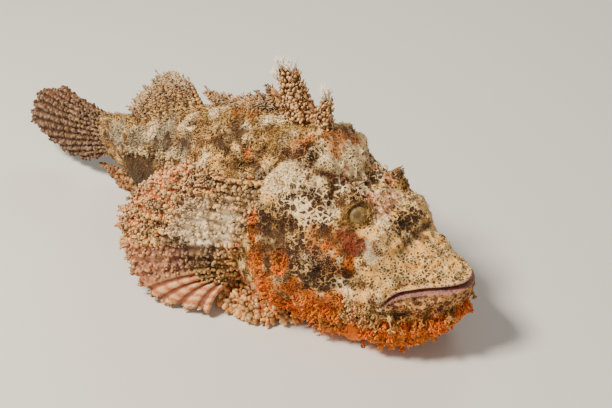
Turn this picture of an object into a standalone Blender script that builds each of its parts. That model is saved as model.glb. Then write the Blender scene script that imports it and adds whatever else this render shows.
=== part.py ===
"""A scorpionfish at rest on its belly, life size, as a still display model.

+X points out of the mouth, +Y to the fish's left and +Z up. The origin lies on the floor, under the belly.
The body is one tube of cross sections. It is parted at the gills and behind the vent by thin cuts, and
the fins, flaps and eyes are set on it from its own sizes.
"""

import math
import random

import bmesh
import bpy
import numpy as np
from mathutils import Vector

MM = 0.001
GAP = 0.3 * MM          # what pieces that touch keep between them
CUT_GAP = 1.3 * GAP     # how much wider a cutter is than the piece it makes room for
FLOOR_CUT = 30 * MM     # depth of the block that trims a fin to the floor

# Cross sections of the body in millimetres, tail first: place along X, half width, height of the widest
# line, top, bottom, and how square the upper and the lower half are (2 is an ellipse).
SECTIONS = np.array([
    (-118, 4.5, 32.0, 42.0, 21.0, 2.0, 2.0),
    (-106, 7.0, 31.0, 44.5, 16.0, 2.0, 2.0),
    (-88, 12.0, 30.0, 50.0, 6.5, 2.0, 2.0),
    (-58, 20.5, 30.0, 64.0, 1.0, 1.9, 2.1),
    (-28, 28.0, 31.0, 77.0, -1.5, 1.75, 2.4),
    (0, 33.5, 31.0, 84.0, -2.5, 1.6, 2.6),
    (20, 36.0, 30.0, 76.5, -2.5, 1.55, 2.7),
    (36, 34.5, 29.0, 69.5, -1.5, 1.5, 2.6),
    (52, 30.5, 28.0, 60.0, -0.5, 1.5, 2.5),
    (66, 25.0, 26.5, 50.0, 1.0, 1.45, 2.4),
    (78, 19.0, 27.0, 44.0, 5.0, 1.5, 2.3),
    (93, 14.0, 29.0, 39.0, 12.0, 1.7, 2.2),
]) * [MM, MM, MM, MM, MM, 1, 1]

TAIL_END = -118 * MM
SNOUT_START = 74 * MM   # from here the sections close in an ellipse
LIP_TIP = 93.5 * MM
LIP_HEIGHT = 35.0 * MM
VENT_CUT = -62 * MM
GILL_CUT = 10 * MM
GILL_LEAN = 0.30        # how far the sections lean forward at the gill cover, per unit of height
GILL_LEAN_SPAN = 30 * MM
LEAN_HEIGHT = 30 * MM

# Forms of the head: place, reach and height in millimetres. All but the middle ones are mirrored.
FORMS = (
    ("brow", (51, 15, 62), 8.0, 5.5),
    ("brow front", (62, 13, 50), 7.5, 8.0),
    ("between the eyes", (56, 0, 59), 6.0, -2.0),
    ("pit behind the eyes", (41, 0, 68), 6.0, -5.0),
    ("nape hump", (30, 0, 77), 8.0, 2.0),
    ("nape ridge", (30, 13, 74), 6.0, 3.0),
    ("temple ridge", (20, 21, 72), 8.0, 3.5),
    ("temple pit", (38, 20, 65), 6.0, -2.5),
    ("nose", (78, 7, 45), 6.0, 2.0),
    ("pit under the eye", (55, 23, 50), 5.0, -3.5),
    ("ridge under the eye", (63, 23, 45), 6.0, 3.0),
    ("ridge on the cheek", (48, 30, 45), 6.5, 3.0),
    ("cheek plate", (38, 34, 40), 7.0, 2.5),
    ("gill plate corner", (26, 37, 26), 8.0, 2.6),
    ("hollow behind the cheek", (22, 34, 50), 7.0, -3.4),
    ("hollow of the cheek", (56, 29, 33), 7.0, -2.0),
    ("jaw corner", (68, 24, 28), 6.0, 1.8),
)

# The line of the mouth from its corner to beyond the lips, along X and up, in millimetres.
MOUTH_LINE = np.array([(65, 24), (70, 29.6), (78, 32.8), (88, 34.9), (98, 36.0)]) * MM
MOUTH_CORNER = 66.5 * MM    # where the lips start
MOUTH_OPEN = 1.6 * MM
MOUTH_SHUT = 0.5 * MM
JAW_BACK = 65 * MM
MOUTH_MIDDLE = 60 * MM      # the lips roll outwards from here

EYE_PLACE = (47, 58)    # station, and angle in degrees
EYE_AXIS = Vector((0.35, 0.75, 0.56)).normalized()
EYE_RADIUS = 4.8 * MM
EYE_DEPTH = 1.5 * MM    # how far the eye's middle lies below the skin
EYE_FACES = (16, 10)    # round the eye, and from pole to pole
EYE_RIM = (4.4 * MM, 1.4 * MM)      # how wide the ring of skin round the eye is, and how thick

LIP_THICK = (1.4 * MM, 1.2 * MM)    # upper and lower
LIP_CORNER = 0.55                   # how much thinner the lips are at the corners
LIP_SUNK = 0.35                     # how much of a lip's size its middle lies inside the skin
LIP_SIDES = 6
LIP_END = 0.4 * MM                  # how far short of the snout's tip the lips are measured

NOSTRIL = (70, 46)                  # station, and angle in degrees
NOSTRIL_PROFILE = ((2.2, -1.5), (1.7, 1.5), (1.0, 1.5), (0.7, 0.3))

FIN_SINK = 4 * MM       # how deep a fin's root starts below the skin before it is trimmed to it

PECTORAL_ROOT_STATIONS = (3, 3, 3, 2, 1)
PECTORAL_ROOT_ANGLES = (42, 24, 4, -18, -42)
PECTORAL_ENDS = ((-25, 34, 64), (-45, 42, 51), (-57, 47, 30), (-51, 54, 11), (-32, 56, 1.8), (-5, 50, 1.8))
PECTORAL_RAYS = 15
PECTORAL_BOW = 8 * MM
PECTORAL_THICK = (0.8 * MM, 2.3 * MM)

PELVIC_ROOT_STATIONS = (18, 11, 3)
PELVIC_ROOT_ANGLES = (-66, -66, -66)
PELVIC_ENDS = ((28, 29, 2), (23, 36, 1.9), (13, 42, 1.9), (3, 44, 1.9), (-6, 41, 1.9))
PELVIC_RAYS = 7
PELVIC_BOW = 4 * MM
PELVIC_THICK = (0.9 * MM, 2.6 * MM)

SPINY_ROOT = (6, -37)
SPINE_HEIGHTS = (17, 9, 23, 22, 11, 7, 6, 6, 6, 6, 7, 9)
SPINE_LEANS = (0, 20, 18, 22, 35, 50, 56, 60, 60, 58, 52, 45)
SPINY_NOTCHES = (0.5, 0.5, 0.45, 0.4, 0.35, 0.3, 0.3, 0.3, 0.3, 0.3, 0.25, 0.2)
SPINY_THICK = (0.9 * MM, 2.4 * MM)

SOFT_ROOT = (-47, -88)
SOFT_HEIGHTS = (12, 18, 19, 17, 14, 11, 7)
SOFT_LEANS = (30, 35, 40, 45, 50, 55, 60)
SOFT_RAYS = 10
FIN_THICK = (0.8 * MM, 2.0 * MM)

ANAL_ROOT = (-66, -94)
ANAL_HEIGHTS = (7, 18, 27, 29)
ANAL_LEANS = (50, 64, 74, 83)
ANAL_RAYS = 7

CAUDAL_ROOT = ((-113, 0, 42), (-114, 0, 32), (-113, 0, 21))
CAUDAL_ENDS = ((-148, 0, 48), (-168, -1, 39), (-177, -2, 22), (-163, -1, 10), (-141, 0, 7))
CAUDAL_RAYS = 12
CAUDAL_BOW = -1.5 * MM
CAUDAL_THICK = (0.9 * MM, 2.2 * MM)

# Rows of skin flaps: the part they grow on, the first and the last place as a station and an angle in degrees,
# how many on each side, and their length and width in millimetres.
FLAP_ROWS = (
    ("lower_jaw", (71, -26), (91, -40), 4, 4.2, 3.0),
    ("lower_jaw", (68, -46), (90, -54), 9, 8.0, 3.6),
    ("lower_jaw", (70, -72), (86, -78), 4, 6.0, 3.4),
    ("head", (34, -44), (47, -50), 5, 6.5, 3.4),
    ("head", (34, -26), (58, -34), 4, 4.8, 3.2),
    ("head", (15, -26), (14, 34), 5, 4.2, 2.8),
    ("head", (44, 6), (62, 10), 2, 3.2, 2.0),
    ("head", (44, 80), (58, 78), 2, 4.0, 2.0),
    ("head", (20, 58), (36, 66), 2, 3.6, 2.0),
    ("torso", (-52, 22), (-6, 46), 5, 3.8, 1.9),
    ("torso", (-56, 58), (-8, 60), 5, 4.2, 1.9),
    ("tail_stalk", (-106, 52), (-70, 60), 2, 3.4, 1.7),
    ("tail_stalk", (-106, -8), (-72, 0), 2, 3.0, 1.7),
)
FLAP_THICK = 0.4        # of a flap's width
FLAP_STRAY = 0.25       # how much flaps turn from each other
FLAP_SINK = 1.6 * MM
LONG_FLAP = (1.0, 0.6, 1.05, 0.6)   # widths along a long flap, which is frilled
SHORT_FLAP = (1.0, 0.8)
LONG_FROM = 4.4 * MM
FLOOR_CLEAR = 2.1 * MM  # no flap's middle comes lower
FALL = Vector((-0.45, 0.0, -0.9)).normalized()
BACK_FALL = Vector((-0.9, 0.0, 0.25)).normalized()
SEED = 8008

AROUND = 38             # points round the body
HEAD_STEPS, SNOUT_STEPS, TORSO_STEPS, STALK_STEPS = 16, 7, 10, 6
CUTTER_AROUND, CUTTER_STEPS, CUTTER_SNOUT = 40, 60, 6
SHARP_FROM = math.radians(50)       # edges that bend more than this stay sharp

# The tuft on the tall spines: first and last place in the body's middle plane, how many flaps, length, width.
TUFT_ROWS = (
    ((10, 91), (5, 104), 3, 6.5, 3.0),
    ((0, 90), (-4, 102), 3, 6.5, 3.0),
    ((21, 93), (21, 99), 2, 4.2, 2.2),
)


def smooth_between(table, at):
    """Cubic curves through the rows of a table, read at the places given; the slope at a row is its neighbours'."""
    places, values = table[:, 0], table[:, 1:]
    slopes = np.gradient(values, places, axis=0)
    at = np.clip(np.asarray(at, float), places[0], places[-1])
    i = np.clip(np.searchsorted(places, at) - 1, 0, len(places) - 2)
    step = (places[i + 1] - places[i])[..., None]
    t = ((at - places[i])[..., None]) / step
    return (
        (2 * t**3 - 3 * t**2 + 1) * values[i]
        + (t**3 - 2 * t**2 + t) * step * slopes[i]
        + (3 * t**2 - 2 * t**3) * values[i + 1]
        + (t**3 - t**2) * step * slopes[i + 1]
    )


def superellipse(c, power):
    """A cosine or sine drawn towards the corners of its box; power 2 leaves it as it is."""
    return np.sign(c) * np.abs(c) ** (2 / power)


def plain_skin(s, a, grow=0.0):
    """The body without the head's forms: a superellipse about the widest line, at station s and angle a.

    Angle 0 is the fish's left side and a quarter turn is the top. The half above the widest line and the
    half below have their own heights. grow widens the section on every side.
    """
    s, a = np.broadcast_arrays(np.asarray(s, float), np.asarray(a, float))
    width, middle, top, bottom, square_top, square_low = np.moveaxis(smooth_between(SECTIONS, s), -1, 0)
    closing = np.clip((s - SNOUT_START) / (LIP_TIP - SNOUT_START), 0, 1)
    cap = np.sqrt(np.clip(1 - closing**2, 0, 1))
    upper = np.sin(a) >= 0
    power = np.where(upper, square_top, square_low)
    height = np.where(upper, top - middle, middle - bottom)
    middle = middle + (LIP_HEIGHT - middle) * closing**2
    across = (width * cap**0.8 + grow) * superellipse(np.cos(a), power)
    z = middle + (height * cap + grow) * superellipse(np.sin(a), power)
    lean = GILL_LEAN * np.exp(-(((s - GILL_CUT) / GILL_LEAN_SPAN) ** 2))
    x = s + lean * (z - LEAN_HEIGHT)
    return np.stack([x, across, np.maximum(z, 0)], -1)


def skin(s, a, grow=0.0):
    """The body with the head's forms: each form moves the points near it along the line from the section's middle."""
    point = plain_skin(s, a, grow)
    middle = np.stack([point[..., 0], np.zeros(point.shape[:-1]), np.full(point.shape[:-1], LEAN_HEIGHT)], -1)
    out = point - middle
    out /= np.maximum(np.linalg.norm(out, axis=-1, keepdims=True), 1e-9)
    moved = np.zeros(point.shape[:-1])
    for _, place, reach, height in FORMS:
        for side in (1, -1) if place[1] else (1,):
            away = np.linalg.norm(point - np.array(place) * [MM, side * MM, MM], axis=-1) / (reach * MM)
            moved += height * MM * np.exp(-(away**2))
    point = point + out * moved[..., None]
    point[..., 2] = np.maximum(point[..., 2], 0)
    return point


def skin_frame(s, a):
    """The skin's point, its outward normal and its tangent towards the tail, at one station and angle."""
    step_s, step_a = 0.6 * MM, 0.02
    along = skin(s - step_s, a) - skin(s + step_s, a)
    round_ = skin(s, a + step_a) - skin(s, a - step_a)
    normal = Vector(np.cross(along, round_)).normalized()
    return Vector(skin(s, a)), normal, Vector(along).normalized()


def new_object(name, vertices, faces, material=None):
    """A mesh object with its faces turned outwards."""
    mesh = bpy.data.meshes.new(name)
    mesh.from_pydata([tuple(v) for v in vertices], [], faces)
    shell = bmesh.new()
    shell.from_mesh(mesh)
    bmesh.ops.recalc_face_normals(shell, faces=shell.faces)
    shell.to_mesh(mesh)
    shell.free()
    obj = bpy.data.objects.new(name, mesh)
    bpy.context.scene.collection.objects.link(obj)
    if material:
        mesh.materials.append(material)
    return obj


def tube(name, rings, material=None):
    """A closed tube through rings of points. Each end is closed by triangles about the middle of its ring."""
    count = len(rings[0])
    middles = [np.mean(rings[0], axis=0), np.mean(rings[-1], axis=0)]
    vertices = np.concatenate(list(rings) + [np.array(middles)])
    first_middle = len(vertices) - 2
    last_ring = first_middle - count
    faces = []
    for i in range(count):
        j = (i + 1) % count
        faces.append([i, j, first_middle])
        faces.append([last_ring + i, last_ring + j, first_middle + 1])
        for r in range(len(rings) - 1):
            faces.append([r * count + i, r * count + j, (r + 1) * count + j, (r + 1) * count + i])
    return new_object(name, vertices, faces, material)


def body_rings(start, end, steps, around, grow=0.0):
    """Rings of the skin from one station to another."""
    angles = np.arange(around) * 2 * math.pi / around
    return [skin(s, angles, grow) for s in np.linspace(start, end, steps + 1)]


def snout_rings(start, steps, around, grow=0.0):
    """Rings of the closing snout, set closer towards the tip as a quarter circle's are."""
    angles = np.arange(around) * 2 * math.pi / around
    turns = np.linspace(0, 0.47 * math.pi, steps + 1)[1:]
    return [skin(start + (LIP_TIP - start) * math.sin(t), angles, grow) for t in turns]


def boolean(obj, others, operation, solver="EXACT"):
    """Applies one Boolean of obj with a collection of objects, which are then removed.

    The manifold solver is for the flaps and the fins: there the exact one leaves open edges where they cross.
    """
    bag = bpy.data.collections.new(obj.name + " pieces")
    bpy.context.scene.collection.children.link(bag)
    for other in others:
        bag.objects.link(other)
    modifier = obj.modifiers.new("join", "BOOLEAN")
    modifier.operation = operation
    modifier.solver = solver
    modifier.operand_type = "COLLECTION"
    modifier.collection = bag
    graph = bpy.context.evaluated_depsgraph_get()
    made = bpy.data.meshes.new_from_object(obj.evaluated_get(graph))
    obj.modifiers.clear()
    obj.data = made
    for other in others:
        bpy.data.objects.remove(other)
    bpy.data.collections.remove(bag)
    keep_largest(obj)


def keep_largest(obj):
    """Leaves only the closed surface that holds the most."""
    shell = bmesh.new()
    shell.from_mesh(obj.data)
    bmesh.ops.triangulate(shell, faces=shell.faces)
    left, bodies = set(shell.faces), []
    while left:
        body, front = set(), [left.pop()]
        while front:
            face = front.pop()
            body.add(face)
            for edge in face.edges:
                for near in edge.link_faces:
                    if near in left:
                        left.remove(near)
                        front.append(near)
        bodies.append(body)

    def volume(faces):
        return sum(f.verts[0].co.dot(f.verts[1].co.cross(f.verts[2].co)) for f in faces) / 6

    largest = max(bodies, key=volume)
    scrap = [f for body in bodies if body is not largest for f in body]
    bmesh.ops.delete(shell, geom=scrap, context="FACES")
    shell.to_mesh(obj.data)
    shell.free()


def box(name, low, high):
    """A block between two corners."""
    vertices = [(x, y, z) for x in (low[0], high[0]) for y in (low[1], high[1]) for z in (low[2], high[2])]
    faces = [(0, 1, 3, 2), (4, 6, 7, 5), (0, 4, 5, 1), (2, 3, 7, 6), (0, 2, 6, 4), (1, 5, 7, 3)]
    return new_object(name, vertices, faces)


def colour(name, rgb, roughness):
    """A plain finish for one kind of part."""
    material = bpy.data.materials.new(name)
    material.use_nodes = True
    shader = material.node_tree.nodes["Principled BSDF"]
    shader.inputs["Base Color"].default_value = (*rgb, 1)
    shader.inputs["Roughness"].default_value = roughness
    shader.inputs["Metallic"].default_value = 0
    return material


def fan(name, root, tip, rays, steps, thick, arch, notch, material, per_ray=3):
    """A fin: a sheet between a root curve and a tip curve, with a ridge along each ray on both faces.

    root(u) and tip(u) give points for u from 0 to 1 across the fin, and arch(u, v) how far the sheet
    bows from the straight line between them at v from root to tip. thick is (membrane, ray) in metres
    at the root; rays thin to their tips. The edge is notched between the rays.
    """
    across = (rays - 1) * per_ray + 1
    u = np.linspace(0, 1, across)
    ridge = 0.5 + 0.5 * np.cos(2 * math.pi * u * (rays - 1))
    v = np.linspace(0, 1, steps + 1)

    def sheet(reach):
        w = v[:, None] * reach
        straight = root(u) * (1 - w[..., None]) + tip(u) * w[..., None]
        return straight + np.array([arch(u, row) for row in w])

    whole = sheet(np.ones_like(u))
    normal = np.cross(np.gradient(whole, axis=1), np.gradient(whole, axis=0))
    normal /= np.maximum(np.linalg.norm(normal, axis=-1, keepdims=True), 1e-12)
    grid = sheet(1 - notch(u) * (1 - ridge))
    membrane, ray = thick
    taper = (1 - 0.55 * v**1.3)[:, None]
    half = (membrane + ray * ridge[None, :] * taper) / 2
    front, back = grid + normal * half[..., None], grid - normal * half[..., None]
    size = (steps + 1) * across
    vertices = np.concatenate([front.reshape(-1, 3), back.reshape(-1, 3)])
    faces = []
    for k in range(steps):
        for i in range(across - 1):
            a, b = k * across + i, k * across + i + 1
            c, d = a + across, b + across
            faces += [(a, b, d), (a, d, c), (size + b, size + a, size + d), (size + d, size + a, size + c)]
    rim = [i for i in range(across)]
    rim += [k * across + across - 1 for k in range(1, steps + 1)]
    rim += [steps * across + i for i in range(across - 2, -1, -1)]
    rim += [k * across for k in range(steps - 1, 0, -1)]
    for p, q in zip(rim, rim[1:] + rim[:1]):
        faces += [(p, size + p, size + q), (p, size + q, q)]
    return new_object(name, vertices, faces, material)


def flat(u, w):
    """No bow at all."""
    return np.zeros((len(u), 3))


def along_points(points):
    """A smooth curve through a few points in millimetres, as a function of 0 to 1."""
    points = np.array(points, float) * MM
    table = np.column_stack([np.linspace(0, 1, len(points)), points])
    return lambda u: smooth_between(table, u)


def trim(fin, cutter, floor=False):
    """Cuts a fin clear of the body and, where it reaches that low, of the floor."""
    cutters = [cutter]
    if floor:
        cutters.append(box("floor block", (-0.3, -0.2, -FLOOR_CUT), (0.2, 0.2, 0)))
    boolean(fin, cutters, "DIFFERENCE", "MANIFOLD")


def grown_body():
    """The whole body, wider by the gap, as a cutter."""
    rings = body_rings(TAIL_END - GAP, SNOUT_START, CUTTER_STEPS, CUTTER_AROUND, CUT_GAP)
    rings += snout_rings(SNOUT_START, CUTTER_SNOUT, CUTTER_AROUND, CUT_GAP)
    return tube("body cutter", rings)


def flesh(name, start, end, steps, material, snout=0):
    """One length of the body."""
    rings = body_rings(start, end, steps, AROUND)
    if snout:
        rings += snout_rings(end, snout, AROUND)
    return tube(name, rings, material)


def mouth_wedge(name, shut=0.0, open_=0.0, behind=0.0):
    """The space of the lower jaw: below the mouth's line and ahead of the jaw's hinge.

    The line is lifted by shut at the hinge and by open_ at its front, and the hinge lies further back by behind.
    """
    low, wide = -20 * MM, 60 * MM
    lifts = np.interp(MOUTH_LINE[:, 0], [JAW_BACK, LIP_TIP], [shut, open_])
    top = [(x - behind * (k == 0), z + lift) for k, ((x, z), lift) in enumerate(zip(MOUTH_LINE, lifts))]
    outline = [(top[0][0], low), (top[-1][0], low)] + top[::-1]
    count = len(outline)
    vertices = [(x, side, z) for side in (-wide, wide) for x, z in outline]
    faces = [(i, (i + 1) % count, count + (i + 1) % count, count + i) for i in range(count)]
    faces += [tuple(range(count)), tuple(range(2 * count - 1, count - 1, -1))]
    return new_object(name, vertices, faces)


def ball(name, centre, radius, material=None):
    """A round ball."""
    shell = bmesh.new()
    bmesh.ops.create_uvsphere(shell, u_segments=EYE_FACES[0], v_segments=EYE_FACES[1], radius=radius)
    bmesh.ops.translate(shell, verts=shell.verts, vec=centre)
    mesh = bpy.data.meshes.new(name)
    shell.to_mesh(mesh)
    shell.free()
    obj = bpy.data.objects.new(name, mesh)
    bpy.context.scene.collection.objects.link(obj)
    if material:
        mesh.materials.append(material)
    return obj


def copy_of(obj, name):
    """A second object with the same mesh."""
    twin = bpy.data.objects.new(name, obj.data.copy())
    bpy.context.scene.collection.objects.link(twin)
    return twin


def mirrored(point, side):
    """The point on the fish's left (side 1) or right (side -1)."""
    return Vector((point[0], side * point[1], point[2]))


def side_root(stations, angles, side, sink):
    """A fin's root line along the body's side, sunk below the skin: stations and angles read at u."""
    def root(u):
        s = np.interp(u, np.linspace(0, 1, len(stations)), stations) * MM
        a = np.radians(np.interp(u, np.linspace(0, 1, len(angles)), angles))
        point = skin(s, a)
        middle = np.stack([point[:, 0], 0 * s, np.clip(point[:, 2], 14 * MM, 60 * MM)], -1)
        inward = middle - point
        inward /= np.linalg.norm(inward, axis=-1, keepdims=True)
        return (point + inward * sink) * [1, side, 1]
    return root


def midline_root(start, end, sink, below=False):
    """A fin's root line along the back, or along the underside, sunk into the body."""
    def root(u):
        s = (start + (end - start) * u) * MM
        angle = -math.pi / 2 if below else math.pi / 2
        point = skin(s, angle)
        point[:, 2] += sink if below else -sink
        return point
    return root


def pectoral_fin(name, side, paint):
    """The broad fan behind the gill cover, which props the fish on its lower rays."""
    root = side_root(PECTORAL_ROOT_STATIONS, PECTORAL_ROOT_ANGLES, side, FIN_SINK)
    ends = along_points([mirrored(p, side) for p in PECTORAL_ENDS])

    def arch(u, w):
        bow = PECTORAL_BOW * 4 * w * (1 - w)
        return np.stack([0 * u, side * bow * (0.9 - 0.3 * u), bow * (0.2 + 0.5 * u)], -1)

    return fan(name, root, ends, PECTORAL_RAYS, 5, PECTORAL_THICK, arch, lambda u: 0.05 + 0.07 * u, paint)


def pelvic_fin(name, side, paint):
    """The fin spread flat on the floor beside the belly."""
    root = side_root(PELVIC_ROOT_STATIONS, PELVIC_ROOT_ANGLES, side, FIN_SINK)
    ends = along_points([mirrored(p, side) for p in PELVIC_ENDS])

    def arch(u, w):
        return np.stack([0 * u, 0 * u, PELVIC_BOW * 4 * w * (1 - w)], -1)

    return fan(name, root, ends, PELVIC_RAYS, 4, PELVIC_THICK, arch, lambda u: 0.10 + 0 * u, paint)


def upright_fin(name, root, heights, leans, rays, thick, notch, paint, steps=4, below=False):
    """A fin in the body's middle plane: each ray has a height above the skin and a lean towards the tail."""
    at = np.linspace(0, 1, len(heights))

    def tip(u):
        height = (np.interp(u, at, heights) * MM + FIN_SINK)
        lean = np.radians(np.interp(u, at, leans))
        down = -1 if below else 1
        base = root(u)
        x = base[:, 0] - height * np.sin(lean)
        return np.stack([x, base[:, 1], base[:, 2] + down * height * np.cos(lean)], -1)

    def notches(u):
        return np.interp(u, np.linspace(0, 1, len(notch)), notch)

    return fan(name, root, tip, rays, steps, thick, flat, notches, paint)


def caudal_fin(name, paint):
    """The rounded tail fin, which hangs a little above the floor."""
    root = along_points(CAUDAL_ROOT)
    ends = along_points(CAUDAL_ENDS)

    def arch(u, w):
        return np.stack([0 * u, CAUDAL_BOW * 4 * w * (1 - w), 0 * u], -1)

    return fan(name, root, ends, CAUDAL_RAYS, 5, CAUDAL_THICK, arch, lambda u: 0.06 + 0 * u, paint)


def eye_centre(side):
    """The middle of the eyeball, a little below the skin."""
    place, _, _ = skin_frame(EYE_PLACE[0] * MM, math.radians(EYE_PLACE[1]))
    return mirrored(place - EYE_AXIS * EYE_DEPTH, side)


def mouth_height(x):
    """How high the line of the mouth is at x."""
    return np.interp(x, MOUTH_LINE[:, 0], MOUTH_LINE[:, 1])


def mouth_line(steps=9):
    """Points where the mouth's line meets the skin, from the left corner round the front to the right corner."""
    left = []
    for k in range(steps):
        s = MOUTH_CORNER + (LIP_TIP - LIP_END - MOUTH_CORNER) * math.sin(k / (steps - 1) * math.pi / 2)
        low, high = -math.pi / 2, math.pi / 2
        for _ in range(30):
            a = (low + high) / 2
            point = skin(s, a)
            low, high = (a, high) if point[2] < mouth_height(point[0]) else (low, a)
        left.append(Vector(point))
    return left + [mirrored(p, -1) for p in reversed(left)]


def lip(name, thick, lift):
    """A soft roll along the mouth's line, lifted above it or set below it by lift."""
    line = mouth_line()
    rings = []
    for k, point in enumerate(line):
        before, after = line[max(k - 1, 0)], line[min(k + 1, len(line) - 1)]
        along = (after - before).normalized()
        out = along.cross(Vector((0, 0, 1))).normalized()
        if out.dot(point - Vector((MOUTH_MIDDLE, 0, point.z))) < 0:
            out = -out
        away = abs(k - (len(line) - 1) / 2) / ((len(line) - 1) / 2)
        size = thick * (1 - LIP_CORNER * away**2)
        middle = point + Vector((0, 0, lift)) - out * LIP_SUNK * size
        turns = [math.tau * i / LIP_SIDES for i in range(LIP_SIDES)]
        rings.append([middle + out * size * math.cos(t) + Vector((0, 0, size * math.sin(t))) for t in turns])
    return tube(name, rings)


def ring(name, centre, axis, radius, thick, around=16, sides=5):
    """A round ring about an axis."""
    one = axis.orthogonal().normalized()
    two = axis.cross(one)
    vertices = []
    for i in range(around):
        t = math.tau * i / around
        out = one * math.cos(t) + two * math.sin(t)
        for j in range(sides):
            r = math.tau * j / sides
            vertices.append(centre + out * (radius + thick * math.cos(r)) + axis * thick * math.sin(r))
    faces = []
    for i in range(around):
        for j in range(sides):
            a, b = i * sides + j, i * sides + (j + 1) % sides
            c, d = (a + sides) % len(vertices), (b + sides) % len(vertices)
            faces.append((a, b, d, c))
    return new_object(name, vertices, faces)


def barrel(name, centre, axis, profile, around=8):
    """A profile of radius and height turned about an axis, as the nostril's rim and the hole in it."""
    one = axis.orthogonal().normalized()
    two = axis.cross(one)
    rings = []
    for radius, height in profile:
        turns = [math.tau * i / around for i in range(around)]
        rings.append([
            centre + axis * height * MM + (one * math.cos(t) + two * math.sin(t)) * radius * MM for t in turns
        ])
    return tube(name, rings)


def strip(path, widths, across):
    """A tapering strip with four corners round each point of a path but the last, which is its tip."""
    vertices, faces = [], []
    for k, point in enumerate(path[:-1]):
        along = (path[k + 1] - point).normalized()
        flat_way = across - along * across.dot(along)
        flat_way.normalize()
        thin_way = along.cross(flat_way)
        half = widths[k] / 2
        vertices += [point + flat_way * half, point + thin_way * half * FLAP_THICK]
        vertices += [point - flat_way * half, point - thin_way * half * FLAP_THICK]
    vertices.append(path[-1])
    last = len(path) - 2
    for k in range(last):
        for i in range(4):
            j = (i + 1) % 4
            faces.append((k * 4 + i, k * 4 + j, k * 4 + 4 + j, k * 4 + 4 + i))
    faces += [(last * 4 + i, last * 4 + (i + 1) % 4, len(vertices) - 1) for i in range(4)]
    faces.append((0, 1, 2, 3))
    return new_object("strip", vertices, faces)


def stray(dice):
    """A small turn in any direction."""
    return Vector([dice.uniform(-FLAP_STRAY, FLAP_STRAY) for _ in range(3)])


def flap(place, outward, fall, length, width, dice):
    """One skin flap: a strip that leaves the skin and droops, frilled where it is long."""
    start = (outward * 0.8 + fall * 0.5 + stray(dice)).normalized()
    across = start.cross(outward + 1.5 * stray(dice)).normalized()

    def at(t):
        point = place + start * length * t + fall * length * 0.35 * t * t
        point.z = max(point.z, FLOOR_CLEAR)
        return point

    widths = LONG_FLAP if length > LONG_FROM else SHORT_FLAP
    path = [place - outward * FLAP_SINK] + [at(0.1 + 0.9 * (k + 1) / len(widths)) for k in range(len(widths))]
    return strip(path, [width * w for w in widths], across)


def flaps_on(part, dice):
    """The flaps of one part, on both sides, each a little different."""
    pieces = []
    for node, first, last, count, length, width in FLAP_ROWS:
        if node != part:
            continue
        for side in (1, -1):
            for k in range(count):
                t = (k + dice.uniform(0.25, 0.75)) / count
                s = (first[0] + (last[0] - first[0]) * t) * MM
                a = math.radians(first[1] + (last[1] - first[1]) * t + dice.uniform(-3, 3))
                place, outward, _ = skin_frame(s, a)
                place, outward = mirrored(place, side), mirrored(outward, side)
                fall = BACK_FALL if a > math.radians(45) else FALL
                size = dice.uniform(0.8, 1.15) * MM
                pieces.append(flap(place, outward, fall, length * size, width * MM, dice))
    return pieces


def tuft(dice):
    """The bushy flaps on both faces of the tall spines."""
    pieces = []
    for first, last, count, length, width in TUFT_ROWS:
        for side in (1, -1):
            for k in range(count):
                t = (k + 0.5) / count
                place = Vector((first[0] + (last[0] - first[0]) * t, 0, first[1] + (last[1] - first[1]) * t)) * MM
                outward = Vector((dice.uniform(-1.0, 1.0), side, dice.uniform(0.2, 0.9))).normalized()
                size = dice.uniform(0.8, 1.1) * MM
                pieces.append(flap(place, outward, BACK_FALL, length * size, width * MM, dice))
    return pieces


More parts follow.
